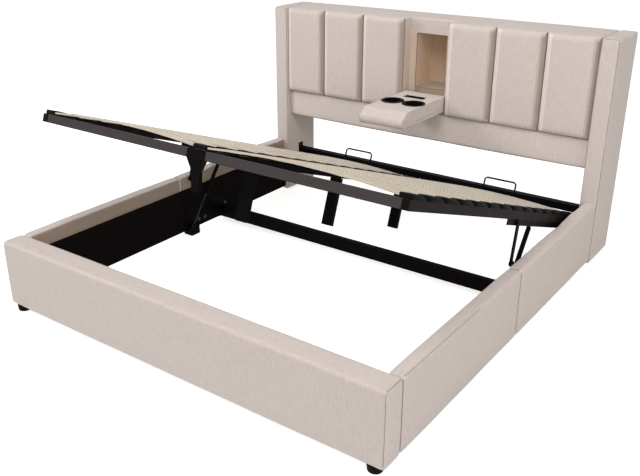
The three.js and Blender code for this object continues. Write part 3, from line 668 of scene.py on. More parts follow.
def tubes(paths, radius, sides=8):
    """Round cords along lists of points. A path that ends where it starts is closed."""
    points, faces = [], []
    for path in paths:
        path = [Vector(place) for place in path]
        closed = (path[0] - path[-1]).length < 1e-6
        if closed:
            path = path[:-1]
        count, first, side = len(path), len(points), None
        for index, place in enumerate(path):
            before = path[(index - 1) % count] if closed or index > 0 else place
            after = path[(index + 1) % count] if closed or index < count - 1 else place
            run = (after - before).normalized()
            if side is None:
                side = run.orthogonal().normalized()
            side = (side - run * side.dot(run)).normalized()
            other = run.cross(side)
            for turn in range(sides):
                angle = 2 * math.pi * turn / sides
                points.append(place + (side * math.cos(angle) + other * math.sin(angle)) * radius)
        for ring in range(count if closed else count - 1):
            near, far = first + ring * sides, first + (ring + 1) % count * sides
            shift = 0
            if closed and ring == count - 1:
                gaps = [(points[near] - points[far + turn]).length for turn in range(sides)]
                shift = gaps.index(min(gaps))
            faces += ring_faces(near, far, sides, shift)
        if not closed:
            faces.append([first + turn for turn in reversed(range(sides))])
            faces.append([first + (count - 1) * sides + turn for turn in range(sides)])
    return points, faces


def add_seams(name, paths, thickness, body="frame", finish=None):
    """Sewn cords along the paths. The thickness is a share of a welt's."""
    radius = bpy.context.scene.bed_fabric.welt_radius * thickness
    return add_piece(name, tubes(paths, radius), finish or seam_linen(), body)


def rim_path(low, high, y, radius, steps=4):
    """A closed upright path at y round a box's front, turned round the radius at its corners."""
    corners = [Vector((x, y, z)) for x, z in (
        (low[0], low[2]), (high[0], low[2]), (high[0], high[2]), (low[0], high[2]),
    )]
    path = []
    for index, corner in enumerate(corners):
        start = corner + (corners[index - 1] - corner).normalized() * radius
        end = corner + (corners[(index + 1) % len(corners)] - corner).normalized() * radius
        for step in range(steps + 1):
            t = step / steps
            path.append(start * (1 - t) ** 2 + corner * 2 * t * (1 - t) + end * t * t)
    return path + [path[0]]


def swept(outline, low, high, edge, step=0.014):
    """A form with that outline in Y and Z, from low to high in X, rounded at its ends."""
    outline = np.array(outline)
    after, before = np.roll(outline, -1, axis=0), np.roll(outline, 1, axis=0)
    run = after - before
    run /= np.linalg.norm(run, axis=1)[:, None]
    clockwise = np.sum(outline[:, 0] * after[:, 1] - after[:, 0] * outline[:, 1]) < 0
    inward = np.stack([-run[:, 1], run[:, 0]], axis=1) * (-1 if clockwise else 1)
    turns = [math.radians(angle) for angle in (90, 60, 30, 0)]
    start = [(low + edge * (1 - math.sin(turn)), edge * (1 - math.cos(turn))) for turn in turns]
    count = round((high - low - 2 * edge) / step)
    sections = start + [(x, 0.0) for x in np.linspace(low + edge, high - edge, count + 1)[1:-1]]
    sections += [(high - (x - low), inset) for x, inset in reversed(start)]
    points = [(x, y, z) for x, inset in sections for y, z in outline + inward * inset]
    size = len(outline)
    faces = [
        face for row in range(len(sections) - 1) for face in ring_faces(row * size, (row + 1) * size, size)
    ]
    faces.append(list(range(size))[::-1])
    faces.append(list(range(len(points) - size, len(points))))
    return points, faces if clockwise else [face[::-1] for face in faces]


def cut_out(piece, forms, smooth_angle=35):
    """Cuts closed forms out of a piece."""
    tools = [new_piece("tool", *form, linen()) for form in forms]
    for tool in tools:
        modifier = piece.modifiers.new("cut", "BOOLEAN")
        modifier.operation = "DIFFERENCE"
        modifier.solver = "EXACT"
        modifier.object = tool
    graph = bpy.context.evaluated_depsgraph_get()
    mesh = bpy.data.meshes.new_from_object(piece.evaluated_get(graph))
    piece.modifiers.clear()
    old = piece.data
    piece.data = mesh
    bpy.data.meshes.remove(old)
    mesh.set_sharp_from_angle(angle=math.radians(smooth_angle))
    for tool in tools:
        bpy.data.objects.remove(tool)


def round_tool(centre, radius, low, high):
    """An upright cylinder to cut with."""
    faces = ring_faces(0, CIRCLE_SIDES, CIRCLE_SIDES)
    faces.append(list(range(CIRCLE_SIDES))[::-1])
    faces.append(list(range(CIRCLE_SIDES, 2 * CIRCLE_SIDES)))
    return circle(centre, radius, low) + circle(centre, radius, high), faces


def box_tool(low, high):
    """A box to cut with."""
    corners = [(x, y, z) for z in (low[2], high[2]) for y in (low[1], high[1]) for x in (low[0], high[0])]
    return corners, [[0, 2, 3, 1], [4, 5, 7, 6], [0, 1, 5, 4], [2, 6, 7, 3], [0, 4, 6, 2], [1, 3, 7, 5]]


def hex_bolts(places, run, radius):
    """Hexagon heads on washers at the places, standing out along run."""
    points, faces = [], []
    run = Vector(run).normalized()
    side = run.orthogonal().normalized()
    other = run.cross(side)
    height = radius * 0.9
    for place in places:
        for sides, rings in BOLT_RINGS:
            for number, (rise, size) in enumerate(rings):
                first = len(points)
                centre = Vector(place) + run * height * rise
                for index in range(sides):
                    angle = 2 * math.pi * index / sides
                    out = side * math.cos(angle) + other * math.sin(angle)
                    points.append(centre + out * (radius * size))
                if number > 0:
                    faces += ring_faces(first - sides, first, sides)
            faces.append(list(range(first, first + sides)))
    return points, faces


def node_box(name):
    low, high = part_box(name)
    return np.array(low), np.array(high)


def platform_span(name, nearest=-1.0, furthest=math.inf):
    """Lowest and highest place of a node across, along and up from the raised platform, from its
    points between the two distances from the middle."""
    places = [vertex.co for vertex in frame["nodes"][name].data.vertices]
    places = [place for place in places if nearest < abs(place.x) < furthest]
    spans = np.array([(place.x, place.dot(ALONG), place.dot(NORMAL)) for place in places])
    return spans.min(axis=0), spans.max(axis=0)


def beam_tube():
    """The span of the head beam's tube where it carries the side beams."""
    return platform_span("platform_head_beam", nearest=0.9)


def on_platform(points, faces):
    """In its place, a form that is given across, along and up from the raised platform."""
    placed = [
        Vector((point[0], 0, 0)) + ALONG * float(point[1]) + NORMAL * float(point[2]) for point in points
    ]
    return placed, faces


def dress_nodes(names, finish, edge=None):
    """Gives carried-over CAD nodes their finish, and breaks their edges. With an edge of 0, their
    facets are shaded as one surface instead."""
    edge = bpy.context.scene.bed_hardware.edge_break if edge is None else edge
    for name in names:
        node = frame["nodes"][name]
        for slot in node.material_slots:
            slot.material = finish
        weld = node.modifiers.new("weld", "WELD")
        weld.merge_threshold = 1e-5
        if edge == 0.0:
            split = node.modifiers.new("sharp_edges", "EDGE_SPLIT")
            split.split_angle = math.radians(30)
            node.data.polygons.foreach_set("use_smooth", [True] * len(node.data.polygons))
            continue
        bevel = node.modifiers.new("edge_break", "BEVEL")
        bevel.width = edge
        bevel.segments = 2
        bevel.limit_method = "ANGLE"
        bevel.angle_limit = math.radians(40)


class Board:
    """An upholstered board: its box, how far its sides swell, and the waves in its cover."""

    def __init__(self, node, low, high, grain, seed=0.0, crown=1.0):
        self.cloth = bpy.context.scene.bed_fabric
        self.node, self.low, self.high, self.grain, self.seed = node, low, high, grain, seed
        self.swelling = self.cloth.board_crown * crown

    def formed(self, points, outward):
        points = swell(points, outward, self.low, self.high, self.swelling)
        return slack(points, outward, self.cloth.wrinkle, self.grain, self.seed)

    def cover(self, radius, folds=(), limits=None, finish=None):
        """Makes the cover, which stays within the limits where it lies against something."""
        step = CREASED_STEP if folds else BOARD_STEP
        points, outward, faces = soft_block(self.low, self.high, radius, step)
        points = self.formed(points, outward)
        for fold in folds:
            points = crease(points, outward, *fold)
        if limits is not None:
            points = np.clip(points, limits[0], limits[1])
        name = f"{self.node}_cover"
        return add_piece(name, (points, faces), finish or linen(), "frame", self.node, fill=0.95)

    def seam(self, path, away, sink):
        """Moves a path on a rounded edge out to the swollen cover, and sinks it in."""
        path, away = np.array(path, float), np.array(away, float)
        away = np.broadcast_to(away / np.linalg.norm(away, axis=-1, keepdims=True), path.shape)
        return (self.formed(path, away) - away * sink).tolist()


# Operators: one for each piece or group of like pieces.


class BED_OT_footboard(bpy.types.Operator):
    """Covers the footboard and finishes its feet"""

    bl_idname = "bed.footboard"
    bl_label = "Footboard"

    def execute(self, context):
        cloth = context.scene.bed_fabric
        low, high = node_box("footboard")
        loose = cloth.board_crown * 2
        board = Board("footboard", low, high, (3, 6, 4))
        board.cover(cloth.edge_radius, limits=(low - loose, high + (loose, 0.0, loose)))
        inset, stops = cloth.edge_radius * EDGE_SINK, 8
        front, back, top = low[1] + inset, high[1] - inset, high[2] - inset
        upright = np.linspace(low[2] + SEAM_START, top - SEAM_TOP, stops)
        level = np.linspace(front + SEAM_END, back - SEAM_END, stops)
        seams = []
        for x, sign in ((low[0] + inset, -1), (high[0] - inset, 1)):
            path = [(x, front, z) for z in upright] + [(x, y, top) for y in level]
            path += [(x, back, z) for z in upright[::-1]]
            away = [(sign, -1, 0)] * stops + [(sign, 0, 1)] * stops + [(sign, 1, 0)] * stops
            seams.append(board.seam(path, away, 0.0002))
        add_seams("footboard_corner_seams", seams, 0.5)
        dress_nodes(["footboard_foot_left", "footboard_foot_right"], black_plastic(), 0.002)
        return {"FINISHED"}


class BED_OT_side_rails(bpy.types.Operator):
    """Covers the four side rail sections, with creases in the rear ones, and finishes the linings"""

    bl_idname = "bed.side_rails"
    bl_label = "Side rails"

    def execute(self, context):
        cloth = context.scene.bed_fabric
        edge, loose = cloth.edge_radius, cloth.board_crown * 2
        inset, short = edge * EDGE_SINK, edge * 0.30
        seams = []
        for side, sign in SIDES:
            for part in ("front", "rear"):
                node = f"side_rail_{part}_{side}"
                low, high = node_box(node)
                inner, outer = (low[0], high[0]) if sign > 0 else (high[0], low[0])
                folds = []
                for share, run, width, height in RAIL_FOLDS if part == "rear" else ():
                    y = low[1] + share * (high[1] - low[1])
                    start = (inner + sign * 0.004, y, high[2])
                    folds.append((start, (outer - sign * 0.008, y + run, high[2]), width, height))
                limits = low - loose * np.array([sign < 0, 0, 1]), high + loose * np.array([sign > 0, 0, 1])
                board = Board(node, low, high, (6, 4, 5), 3.7 * sign + (1.9 if part == "rear" else 0.0))
                cover = board.cover(edge, folds, limits)
                # Faces that turn inward take the darker cloth as painted shade.
                clad(cover, [inner_linen()], lambda face: int(face.normal.x * sign < -0.75))

                x, z = outer - sign * inset, high[2] - inset
                first, last = low[1] + short, high[1] - short
                upright = np.linspace(low[2] + SEAM_START, z - SEAM_TOP, 8)
                for y, turn in ((first, -1), (last, 1)):
                    seams.append(board.seam([(x, y, place) for place in upright], (sign, turn, 0), 0.0002))
                if part == "front":
                    level = np.linspace(first + SEAM_END, first + 0.6 * (last - first), 20)
                    seams.append(board.seam([(x, y, z) for y in level], (sign, 0, 1), 0.0006))
                    across = np.linspace(inner + sign * 0.010, outer - sign * 0.014, 8)
                    seams.append(board.seam([(place, last, high[2]) for place in across], (0, 1, 1), 0.0006))
        add_seams("rail_top_seams", seams, 0.5)
        dress_nodes(["rail_lining_left", "rail_lining_right"], lining_felt(), 0.0004)
        return {"FINISHED"}


class BED_OT_wings(bpy.types.Operator):
    """Covers the wings at both ends of the headboard, and adds their glides"""

    bl_idname = "bed.wings"
    bl_label = "Wings"

    def execute(self, context):
        edge = context.scene.bed_fabric.edge_radius * 0.75
        inset = edge * 0.30
        for side, sign in SIDES:
            node = f"wing_{side}"
            low, high = node_box(node)
            low[2] = WING_START
            Board(node, low, high, (6, 6, 3), 5.1 * sign, crown=0.6).cover(edge)
            add_seams(f"{node}_welt", [rim_path(low + inset, high - inset, low[1] + inset, 0.012)], 0.75)
            glides = gathered(
                block_form(
                    (low[0] + GLIDE_INSET, y, 0.0),
                    (high[0] - GLIDE_INSET, y + GLIDE_LENGTH, GLIDE_HEIGHT), 0.003, 0.01,
                )
                for y in (low[1] + GLIDE_INSET, high[1] - (GLIDE_INSET + GLIDE_LENGTH))
            )
            add_piece(f"{node}_glides", glides, black_plastic(), "frame", slot="plastic")
        return {"FINISHED"}


class BED_OT_headboard(bpy.types.Operator):
    """Covers the headboard box, its recess, its niche and the band below the channels"""

    bl_idname = "bed.headboard"
    bl_label = "Headboard"

    def execute(self, context):
        cloth = context.scene.bed_fabric
        openings = {opening["name"]: opening["box_m"] for opening in frame["record"]["physics"]["openings"]}
        niche_low, niche_high = openings["headboard_niche"]
        niche_low = np.array(niche_low) - (NICHE_SIDE, 0.0, NICHE_RISE)
        niche_high = np.array(niche_high) + (NICHE_SIDE, NICHE_SIDE, NICHE_RISE)
        band_low, band_high = node_box("headboard_band")
        back = band_high[1] + NICHE_LAP
        self.cover_box(cloth, niche_low, niche_high, back, band_high[2])

        points, _, faces = soft_block(
            (niche_low[0], back - NICHE_LAP, niche_low[2]), niche_high, 0.004, 0.03,
            keep=lambda centre, axis, side: axis != 1 or side > 0,
        )
        walls = points, [face[::-1] for face in faces]
        lining = add_piece("niche_lining", walls, niche_linen(), "frame")
        # The niche's sides keep the lighter painted shade, and its back and floor get darker copies of it.
        clad(
            lining, [niche_linen("niche_back_linen", cloth.niche_shade), niche_floor_linen()],
            lambda face: 2 if face.normal.z > 0.5 else int(abs(face.normal.y) > 0.5),
        )
        add_seams("niche_welt", [rim_path(niche_low, niche_high, back + 0.0014, 0.006)], 1.0)

        band = Board("headboard_band", band_low, band_high, (4, 5, 6), 9.0, crown=1.4)
        # The band's cloth is a little lighter, as painted light where the channels above keep light off it.
        band.cover(cloth.edge_radius, finish=groove_linen("band_linen", -0.16))
        inset = cloth.edge_radius * EDGE_SINK
        across = np.linspace(band_low[0] + 0.006, band_high[0] - 0.006, 60)
        seams = [
            band.seam([(x, band_low[1] + inset, z) for x in across], (0, -1, turn), 0.0004)
            for z, turn in ((band_low[2] + inset, -1), (band_high[2] - inset, 1))
        ]
        add_seams("headboard_band_welts", seams, 0.55)
        return {"FINISHED"}

    def cover_box(self, cloth, niche_low, niche_high, back, band_top):
        """The box's cover, open at the niche, with a block at each side of the recess."""
        low, high = node_box("headboard_frame")
        pad_high = node_box(PAD_NAMES[2])[1]
        recess, front, lap = abs(pad_high[0]), pad_high[1] + 0.0125, 0.0006
        box_low = np.array([low[0], back, low[2]])

        def keep(centre, axis, side):
            inside = niche_low[0] < centre[0] < niche_high[0] and niche_low[2] < centre[2] < niche_high[2]
            return not (axis == 1 and side < 0 and inside)

        extra = (niche_low[0], niche_high[0]), (), (niche_low[2], niche_high[2])
        points, outward, faces = soft_block(box_low, high, 0.012, 0.02, extra, keep)
        swollen = swell(points, outward, box_low, high, cloth.board_crown)
        free = (points[:, 1] > (back + high[1]) / 2) | (outward[:, 2] > 0.5)
        points = slack(np.where(free[:, None], swollen, points), outward, cloth.wrinkle * 0.5, (4, 4, 4))
        form = gathered([(points, faces)] + [
            block_form((x0, front, band_top + lap), (x1, back + 0.03, high[2] - 0.0004), 0.009, 0.02)
            for x0, x1 in ((low[0], -recess + lap), (recess - lap, high[0]))
        ])
        board = add_piece("headboard_cover", form, linen(), "frame", "headboard_frame", fill=0.95)

        # Painted shade in the recess: brown beside the niche and on the recess's side faces, and the niche floor's
        # darkest shade on the strip below the niche.
        def cloth_at(face):
            x, y, z = face.center
            x = abs(x)
            if y >= back + 0.013:
                return 0
            if x < niche_high[0] and z < niche_low[2]:
                return 2
            beside = (x > niche_high[0] and z < niche_high[2]) or abs(face.normal.x) > 0.5
            return int(beside and x < recess + 0.0008 and band_top < z < high[2] - 0.02)

        clad(board, [recess_linen(), niche_floor_linen()], cloth_at)


class BED_OT_channels(bpy.types.Operator):
    """Makes the six stuffed channels of the headboard"""

    bl_idname = "bed.channels"
    bl_label = "Channels"

    def execute(self, context):
        cloth = context.scene.bed_fabric
        # Painted shade on the slopes that face right, deeper nearer the seam, the seam colour in the seams, and a
        # painted highlight on the slopes that face left.
        finishes = shoulder_linen(), groove_linen(), seam_linen(), groove_linen("crest_linen", -0.4)
        for number, name in enumerate(PAD_NAMES):
            low, high = node_box(name)
            base = high[1] + PAD_PROUD
            form = self.channel_form(cloth, low, high, base, 2.3 * number)
            pad = add_piece(f"{name}_cover", form, linen(), "frame", name, fill=0.8)

            # Picks the painted shading by how far into the seam a face lies and which way it faces.
            def cloth_at(face):
                share, turn = (base - face.center.y) / cloth.channel_depth, face.normal.x
                if share < 0.26 and abs(turn) > 0.35:
                    return 3
                return int(turn > 0.20) + int(turn > 0.45) + 4 * int(turn < -0.20)

            clad(pad, finishes, cloth_at)
        return {"FINISHED"}

    def channel_form(self, cloth, low, high, base, seed):
        """A stuffed channel: full in front, drawn in at both seams, rolled at the top and bottom."""
        depth = cloth.channel_depth
        corners = (low[0], base - depth, low[2]), (high[0], base, high[2])
        points, faces = block_form(*corners, depth * 0.3, 0.011)
        middle, reach = (low[0] + high[0]) / 2, (high[0] - low[0]) / 2
        across = np.clip(np.abs(points[:, 0] - middle) / reach, 0, 1)
        full = 1 - 0.10 * across ** 2
        for gap, turn in (
            (reach * (1 - across), cloth.channel_round),
            (points[:, 2] - low[2], cloth.channel_roll), (high[2] - points[:, 2], cloth.channel_roll),
        ):
            full *= np.sqrt(np.clip(1 - (1 - np.clip(gap / turn, 0, 1)) ** 2, 0.0, 1))
        full = 0.05 + 0.95 * full
        pucker = waves(points, (9, 0, 22), (seed, seed * 3.1, 0)) * cloth.seam_ripple * across ** 4
        broad = waves(points, (6, 0, 5), (seed, seed, 0)) * cloth.wrinkle
        forward = (base - points[:, 1]) / depth
        points[:, 1] = base - (base - points[:, 1]) * full - (pucker + broad) * forward * full
        return points, faces


class BED_OT_armrest(bpy.types.Operator):
    """Makes the armrest: its box with the cup wells, its padding and its sewn edges"""

    bl_idname = "bed.armrest"
    bl_label = "Armrest"

    def execute(self, context):
        cloth = context.scene.bed_fabric
        low, high = node_box("armrest_body")
        pad_low, pad_high = node_box("armrest_pad")
        slot_low, slot_high = node_box("device_slot_tray")
        half = high[0] - BOX_INSET
        box = block_form((-half, low[1], low[2]), (half, high[1], high[2]), 0.005, 0.012)
        shell = new_piece("armrest_box", *box, linen())
        tools = []
        for name, _ in CUPS:
            cup_low, cup_high = node_box(name)
            radius = (cup_high[0] - cup_low[0]) / 2 - WELL_INSET
            tools.append(round_tool((cup_low + cup_high) / 2, radius, cup_low[2] - 0.001, high[2] + 0.01))
        tools.append(box_tool(slot_low - TRAY_PLAY, slot_high + (TRAY_PLAY, TRAY_PLAY, 0.01)))
        cut_out(shell, tools)
        settle(shell, "armrest", "armrest_body", fill=0.95)

        outline = self.padding_outline(pad_low, pad_high, low[1], low[2] - 0.0003)
        points, faces = swept(outline, pad_low[0], pad_high[0], 0.004)
        points = np.array(points)
        wave = waves(points, (14, 9, 9)) * cloth.wrinkle
        points[:, 2] += np.where(points[:, 2] < low[2], wave, wave * 0.6)
        padding = points, faces
        add_piece("armrest_padding", padding, linen(), "armrest", "armrest_pad", fill=0.75, smooth_angle=50)
        edges = self.edges(low, high, half, pad_low, pad_high, outline)
        # The armrest's welts take the painted shade of a channel's shoulder.
        add_seams("armrest_welts", edges, 0.6, "armrest", shoulder_linen())

        trims = [self.cup_rim(*node_box(name), sign) for name, sign in CUPS]
        y0, y1 = slot_low[1], slot_high[1]
        for start, end in ((y0 - STRIP_OUT, y0 + STRIP_IN), (y1 - STRIP_IN, y1 + STRIP_OUT)):
            strip_low = (slot_low[0], start, high[2] - 0.001)
            trims.append(block_form(strip_low, (slot_high[0], end, slot_high[2] + 0.0008), 0.0008, 0.02))
        form = gathered(trims)
        add_piece("armrest_trims", form, black_plastic(), "armrest", slot="plastic", smooth_angle=40)
        dress_nodes([name for name, _ in CUPS] + ["device_slot_tray"], black_plastic())
        return {"FINISHED"}

    def padding_outline(self, low, high, box_front, seam):
        """The side outline of the padding, in Y and Z, from the top of its front down."""
        front, rear, under, top = low[1], high[1], low[2], high[2]
        depth = box_front - front
        outline = [(box_front - 0.0004, seam), (box_front - 0.0004, top)]
        roll = np.array([
            (box_front + 0.004, top + 0.001), (box_front - depth * 0.15, top - 0.005),
            (front + depth * 0.60, top - 0.017), (front + depth * 0.36, top - 0.026),
            (front + depth * 0.13, top - 0.035), (front + 0.0005, top - 0.051),
            (front + depth * 0.05, under + 0.014), (front + depth * 0.20, under + 0.003),
            (front + depth * 0.44, under - 0.001), (box_front + 0.01, under + 0.001),
        ])
        for a, b, c, d in zip(roll, roll[1:], roll[2:], roll[3:]):
            for step in range(5):
                t = step / 5
                bend = (2 * a - 5 * b + 4 * c - d) * t * t + (3 * b - a - 3 * c + d) * t ** 3
                outline.append(tuple(0.5 * (2 * b + (c - a) * t + bend)))
        start, turn, count = outline[-1][0], 0.012, 18
        for step in range(1, count):
            t = step / count
            outline.append((start + (rear - turn - start) * t, under - 0.003 * math.sin(math.pi * t)))
        for step in range(6):
            angle = math.radians(90 * step / 5)
            rise = (seam - under) * (1 - math.cos(angle))
            outline.append((rear - turn + turn * math.sin(angle), under + rise))
        return outline

    def edges(self, low, high, half, pad_low, pad_high, outline):
        """The sewn edges: round the padding's sides, along the box's top, and round the roll's ends."""
        paths = [[(x, y, z) for y, z in outline[2:]] for x in (pad_low[0] + 0.002, pad_high[0] - 0.002)]
        level = np.linspace(low[1] + 0.003, high[1] - 0.004, 12)
        paths += [[(x, y, high[2] - 0.0015) for y in level] for x in (-half + 0.0012, half - 0.0012)]
        centre_y, centre_z, radius = pad_low[1] + 0.024, pad_low[2] + 0.026, 0.017
        turns = [math.radians(angle) for angle in range(0, 361, 20)]
        for x in (pad_low[0] - 0.0004, pad_high[0] + 0.0004):
            paths.append([
                (x, centre_y + radius * math.cos(turn), centre_z + radius * math.sin(turn)) for turn in turns
            ])
        return paths

    def cup_rim(self, low, high, sign):
        """A cup's rim, whose outer edge lies slightly forward and to its side."""
        centre = (low + high) / 2
        inner, outer = CUP_RIM[0][0], CUP_RIM[-1][0]
        points, faces = [], []
        for radius, rise in CUP_RIM:
            shift = (radius - inner) / (outer - inner) * 0.003
            points += circle((centre[0] - sign * shift, centre[1] - shift), radius, high[2] + rise)
        for row in range(len(CUP_RIM)):
            after = (row + 1) % len(CUP_RIM)
            faces += ring_faces(after * CIRCLE_SIDES, row * CIRCLE_SIDES, CIRCLE_SIDES)
        return points, faces


class BED_OT_platform(bpy.types.Operator):
    """Finishes the lifting platform's steel and its legs, and adds plugs to the side beams"""

    bl_idname = "bed.platform"
    bl_label = "Platform"

    def execute(self, context):
        parts = context.scene.bed_hardware
        low, high = platform_span("platform_foot_beam")
        tube_low, tube_high = beam_tube()
        under = tube_low[2] + 0.001
        gusset = max(
            abs(vertex.co.x) for vertex in frame["nodes"]["platform_foot_beam"].data.vertices
            if vertex.co.dot(NORMAL) < tube_low[2] - 0.001
        )
        front = coated("foot_beam_coat", parts.grey_steel, 0.06, below=under, band=gusset + 0.0005)
        dress_nodes(["platform_foot_beam"], front)
        side_coat = coated("side_beam_coat", parts.side_steel, 0.03, below=under)
        plugs = []
        for side, sign in SIDES:
            beam = f"platform_side_beam_{side}"
            dress_nodes([beam], side_coat)
            y = platform_span(beam)[0][1]
            outer = sign * max(abs(high[0]), abs(low[0]))
            near, far = sorted((outer, outer + sign * PLUG_WIDTH))
            plug_low = (near, y - PLUG_OUT, tube_low[2] + 0.0002)
            plug_high = (far, y + PLUG_IN, tube_high[2])
            plugs.append(on_platform(*block_form(plug_low, plug_high, 0.0012, 0.01)))
        add_piece("side_beam_plugs", gathered(plugs), black_plastic(), "platform", slot="plastic")
        legs = [f"platform_leg_{number}" for number in (1, 2, 3)]
        dress_nodes(["platform_head_beam", "platform_centre_beam"] + legs, black_steel())
        return {"FINISHED"}


class BED_OT_slats(bpy.types.Operator):
    """Finishes the bowed slats and adds the moulded holders on the centre and side beams"""

    bl_idname = "bed.slats"
    bl_label = "Slats"

    def execute(self, context):
        dress_nodes(SLAT_ROWS, slat_wood(), 0.0)
        half_width, height, crown = 0.0370, 0.0192, 0.0034
        tube_top = beam_tube()[1][2]
        outer = node_box("platform_side_beam_right")[0][0] + 0.052
        centre, sides = [], []
        for name in SLAT_ROWS:
            low, high = platform_span(name, furthest=0.0362)
            middle, reach = (low[1] + high[1]) / 2, (high[1] - low[1]) / 2 + 0.0008
            base = low[2] + 0.0002
            points, faces = block_form((-half_width, -reach, 0.0), (half_width, reach, height), 0.0014, 0.012)
            crowned = [
                (x, middle + y, base + z + (crown * (1 - (y / reach) ** 2) if z > 0.008 else 0.0))
                for x, y, z in points
            ]
            centre.append(on_platform(crowned, faces))
            scoop = [(middle + y, tube_top + z) for y, z in SCOOP]
            for _, sign in SIDES:
                near, far = sorted((sign * (outer - 0.0526), sign * (outer + 0.0006)))
                sides.append(on_platform(*swept(scoop, near, far, 0.0012, 0.03)))
        add_piece("centre_slat_holders", gathered(centre), black_plastic(), "platform", slot="plastic")
        scoops = gathered(sides)
        add_piece("side_slat_holders", scoops, black_plastic(), "platform", slot="plastic", smooth_angle=40)
        return {"FINISHED"}


class BED_OT_lift(bpy.types.Operator):
    """Finishes the folding stays, the gas struts and their base plates"""

    bl_idname = "bed.lift"
    bl_label = "Lift mechanism"

    def execute(self, context):
        polished = coated("strut_rod_steel", context.scene.bed_hardware.rod_steel, 0.05, 0.3, 0.25)
        for side, _ in SIDES:
            black = ("lift_base", "pivot_bracket", "lower_arm", "upper_arm", "strut_cylinder")
            dress_nodes([f"{part}_{side}" for part in black], black_steel(), 0.0005)
            dress_nodes([f"strut_rod_{side}"], polished, 0.0003)
        return {"FINISHED"}


class BED_OT_cross_members(bpy.types.Operator):
    """Finishes the beam on the floor and the bar between the wings"""

    bl_idname = "bed.cross_members"
    bl_label = "Cross members"

    def execute(self, context):
        dress_nodes(["crossbeam", "head_crossbar"], black_steel())
        return {"FINISHED"}


class BED_OT_fixings(bpy.types.Operator):
    """Adds the bolts of the base plates"""

    bl_idname = "bed.fixings"
    bl_label = "Fixings"

    def execute(self, context):
        parts = context.scene.bed_hardware
        finish = coated("bolt_steel", parts.bolt_steel, 0.1, gloss=0.4)
        for side, sign in SIDES:
            low, high = node_box(f"pivot_bracket_{side}")
            plate_end = node_box(f"lift_base_{side}")[1][1]
            x, middle = low[0] if sign > 0 else high[0], (low[1] + high[1]) / 2
            places = [(x, middle + step, low[2] + BRACKET_RISE) for step in (-BRACKET_STEP, BRACKET_STEP)]
            places += [(x, y, PLATE_ROWS[0]) for y in PLATE_PLACES]
            places += [(x, plate_end - PLATE_INSET, z) for z in PLATE_ROWS]
            bolts = hex_bolts(places, (-sign, 0, 0), parts.bolt_radius)
            add_piece(f"base_plate_bolts_{side}", bolts, finish, "frame", slot="black_steel", smooth_angle=30)
        return {"FINISHED"}


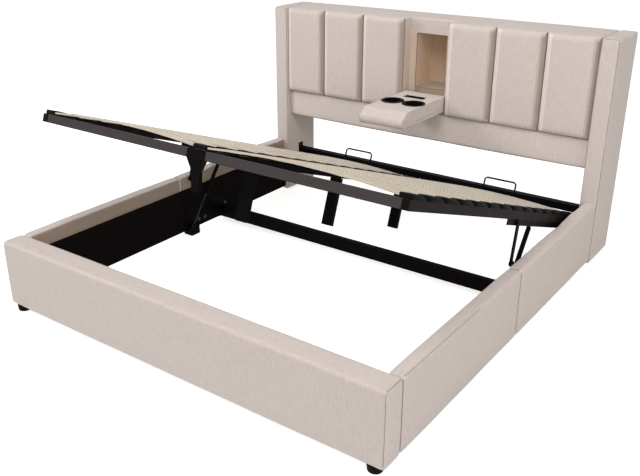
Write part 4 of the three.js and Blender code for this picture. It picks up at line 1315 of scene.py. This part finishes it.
class BED_OT_stage(bpy.types.Operator):
    """Sets up the floor, the lamps, the room light and the camera"""

    bl_idname = "bed.stage"
    bl_label = "Stage"

    def execute(self, context):
        scene = context.scene
        stage = scene.bed_stage
        scene.view_settings.view_transform = "Standard"
        self.add_floor(stage)
        self.add_world(scene, stage)
        middle, white = (0.0, 0.0, 0.6), (1.0, 1.0, 1.0)
        for name, place, target, size, power, colour in (
            ("key_lamp", (-6.0, -4.4, 4.1), middle, 2.2, stage.key_power, white),
            ("head_lamp", (0.6, -1.7, 3.9), (0.1, 0.9, 0.65), 1.8, stage.head_power, stage.warm_light),
            ("front_lamp", (4.5, -6.5, 2.6), middle, 3.0, stage.front_power, white),
            ("side_lamp", (6.5, -1.0, 2.2), middle, 3.0, stage.side_power, white),
            ("top_lamp", (0.0, -1.0, 6.5), middle, 4.5, stage.top_power, white),
        ):
            lamp = bpy.data.lights.new(name, "AREA")
            lamp.color, lamp.shape, lamp.size, lamp.energy = colour, "SQUARE", size, power
            turn = (Vector(target) - Vector(place)).to_track_quat("-Z", "Y").to_euler()
            self.hold(scene, name, lamp, place, turn)
        camera = bpy.data.cameras.new("photo_camera")
        camera.sensor_fit, camera.sensor_width, camera.lens = "HORIZONTAL", 36.0, stage.lens
        camera.shift_x, camera.shift_y = stage.shift
        camera.clip_start, camera.clip_end = 0.05, 60.0
        scene.camera = self.hold(scene, "photo_camera", camera, stage.camera_place, stage.camera_turn)
        return {"FINISHED"}

    def hold(self, scene, name, data, place, turn):
        """Puts a lamp or the camera in its place."""
        holder = bpy.data.objects.new(name, data)
        holder.location = place
        holder.rotation_euler = turn
        scene.collection.objects.link(holder)
        return holder

    def seen(self, tree):
        """1 for rays that show the background: from the camera, off gloss or through glass."""
        rays = tree.nodes.new("ShaderNodeLightPath").outputs
        seen = maths(tree, "MAXIMUM", rays["Is Camera Ray"], rays["Is Glossy Ray"])
        return maths(tree, "MAXIMUM", seen, rays["Is Transmission Ray"])

    def add_floor(self, stage):
        size, glow_strength, drop = 14.0, 0.70, 0.0005
        material = bpy.data.materials.new("studio_floor")
        material.use_nodes = True
        tree = material.node_tree
        shader = tree.nodes["Principled BSDF"]
        shader.inputs["Base Color"].default_value = (*stage.floor_colour, 1.0)
        shader.inputs["Roughness"].default_value = 0.95
        shader.inputs["Specular IOR Level"].default_value = 0.0
        strength = times(tree, self.seen(tree), glow_strength)
        glow = add_node(tree, "ShaderNodeEmission", Color=(1.0, 1.0, 1.0, 1.0), Strength=strength)
        both = add_node(tree, "ShaderNodeAddShader", i0=shader.outputs[0], i1=glow.outputs[0])
        tree.links.new(both.outputs[0], tree.nodes["Material Output"].inputs["Surface"])
        corners = [(-size, -size, 0), (size, -size, 0), (size, size, 0), (-size, size, 0)]
        floor = new_piece("studio_floor", corners, [[0, 1, 2, 3]], material)
        floor.location.z = -drop

    def add_world(self, scene, stage):
        world = bpy.data.worlds.new("studio_room")
        world.use_nodes = True
        scene.world = world
        tree = world.node_tree
        seen = self.seen(tree)
        background = tree.nodes["Background"].inputs
        tree.links.new(mixed(tree, seen, stage.warm_light, (1.0, 1.0, 1.0)), background["Color"])
        strength = plus(tree, times(tree, seen, 1.0 - stage.world_light), stage.world_light)
        tree.links.new(strength, background["Strength"])


class BED_PT_looks(bpy.types.Panel):
    """Lists the bed's sizes, colours and pieces"""

    bl_idname = "BED_PT_looks"
    bl_label = "Storage bed"
    bl_space_type = "VIEW_3D"
    bl_region_type = "UI"
    bl_category = "Bed"

    def draw(self, context):
        for name, _ in SETTINGS:
            group = getattr(context.scene, name)
            box = self.layout.box()
            for setting in group.__annotations__:
                box.prop(group, setting)
        column = self.layout.column(align=True)
        for operator in OPERATORS:
            column.operator(operator.bl_idname)


SETTINGS = (
    ("bed_fabric", BedFabricSettings), ("bed_hardware", BedHardwareSettings), ("bed_stage", BedStageSettings),
)
OPERATORS = (
    BED_OT_stage, BED_OT_footboard, BED_OT_side_rails, BED_OT_wings, BED_OT_headboard, BED_OT_channels,
    BED_OT_armrest, BED_OT_platform, BED_OT_slats, BED_OT_lift, BED_OT_cross_members, BED_OT_fixings,
)


def register():
    for name, settings in SETTINGS:
        bpy.utils.register_class(settings)
        setattr(bpy.types.Scene, name, bpy.props.PointerProperty(type=settings))
    for part in (*OPERATORS, BED_PT_looks):
        bpy.utils.register_class(part)


def unregister():
    for part in (BED_PT_looks, *reversed(OPERATORS)):
        bpy.utils.unregister_class(part)
    for name, settings in reversed(SETTINGS):
        delattr(bpy.types.Scene, name)
        bpy.utils.unregister_class(settings)


def main():
    register()
    for operator in OPERATORS:
        group, name = operator.bl_idname.split(".")
        getattr(getattr(bpy.ops, group), name)()
    bpy.context.view_layer.update()


if __name__ == "__main__":
    main()
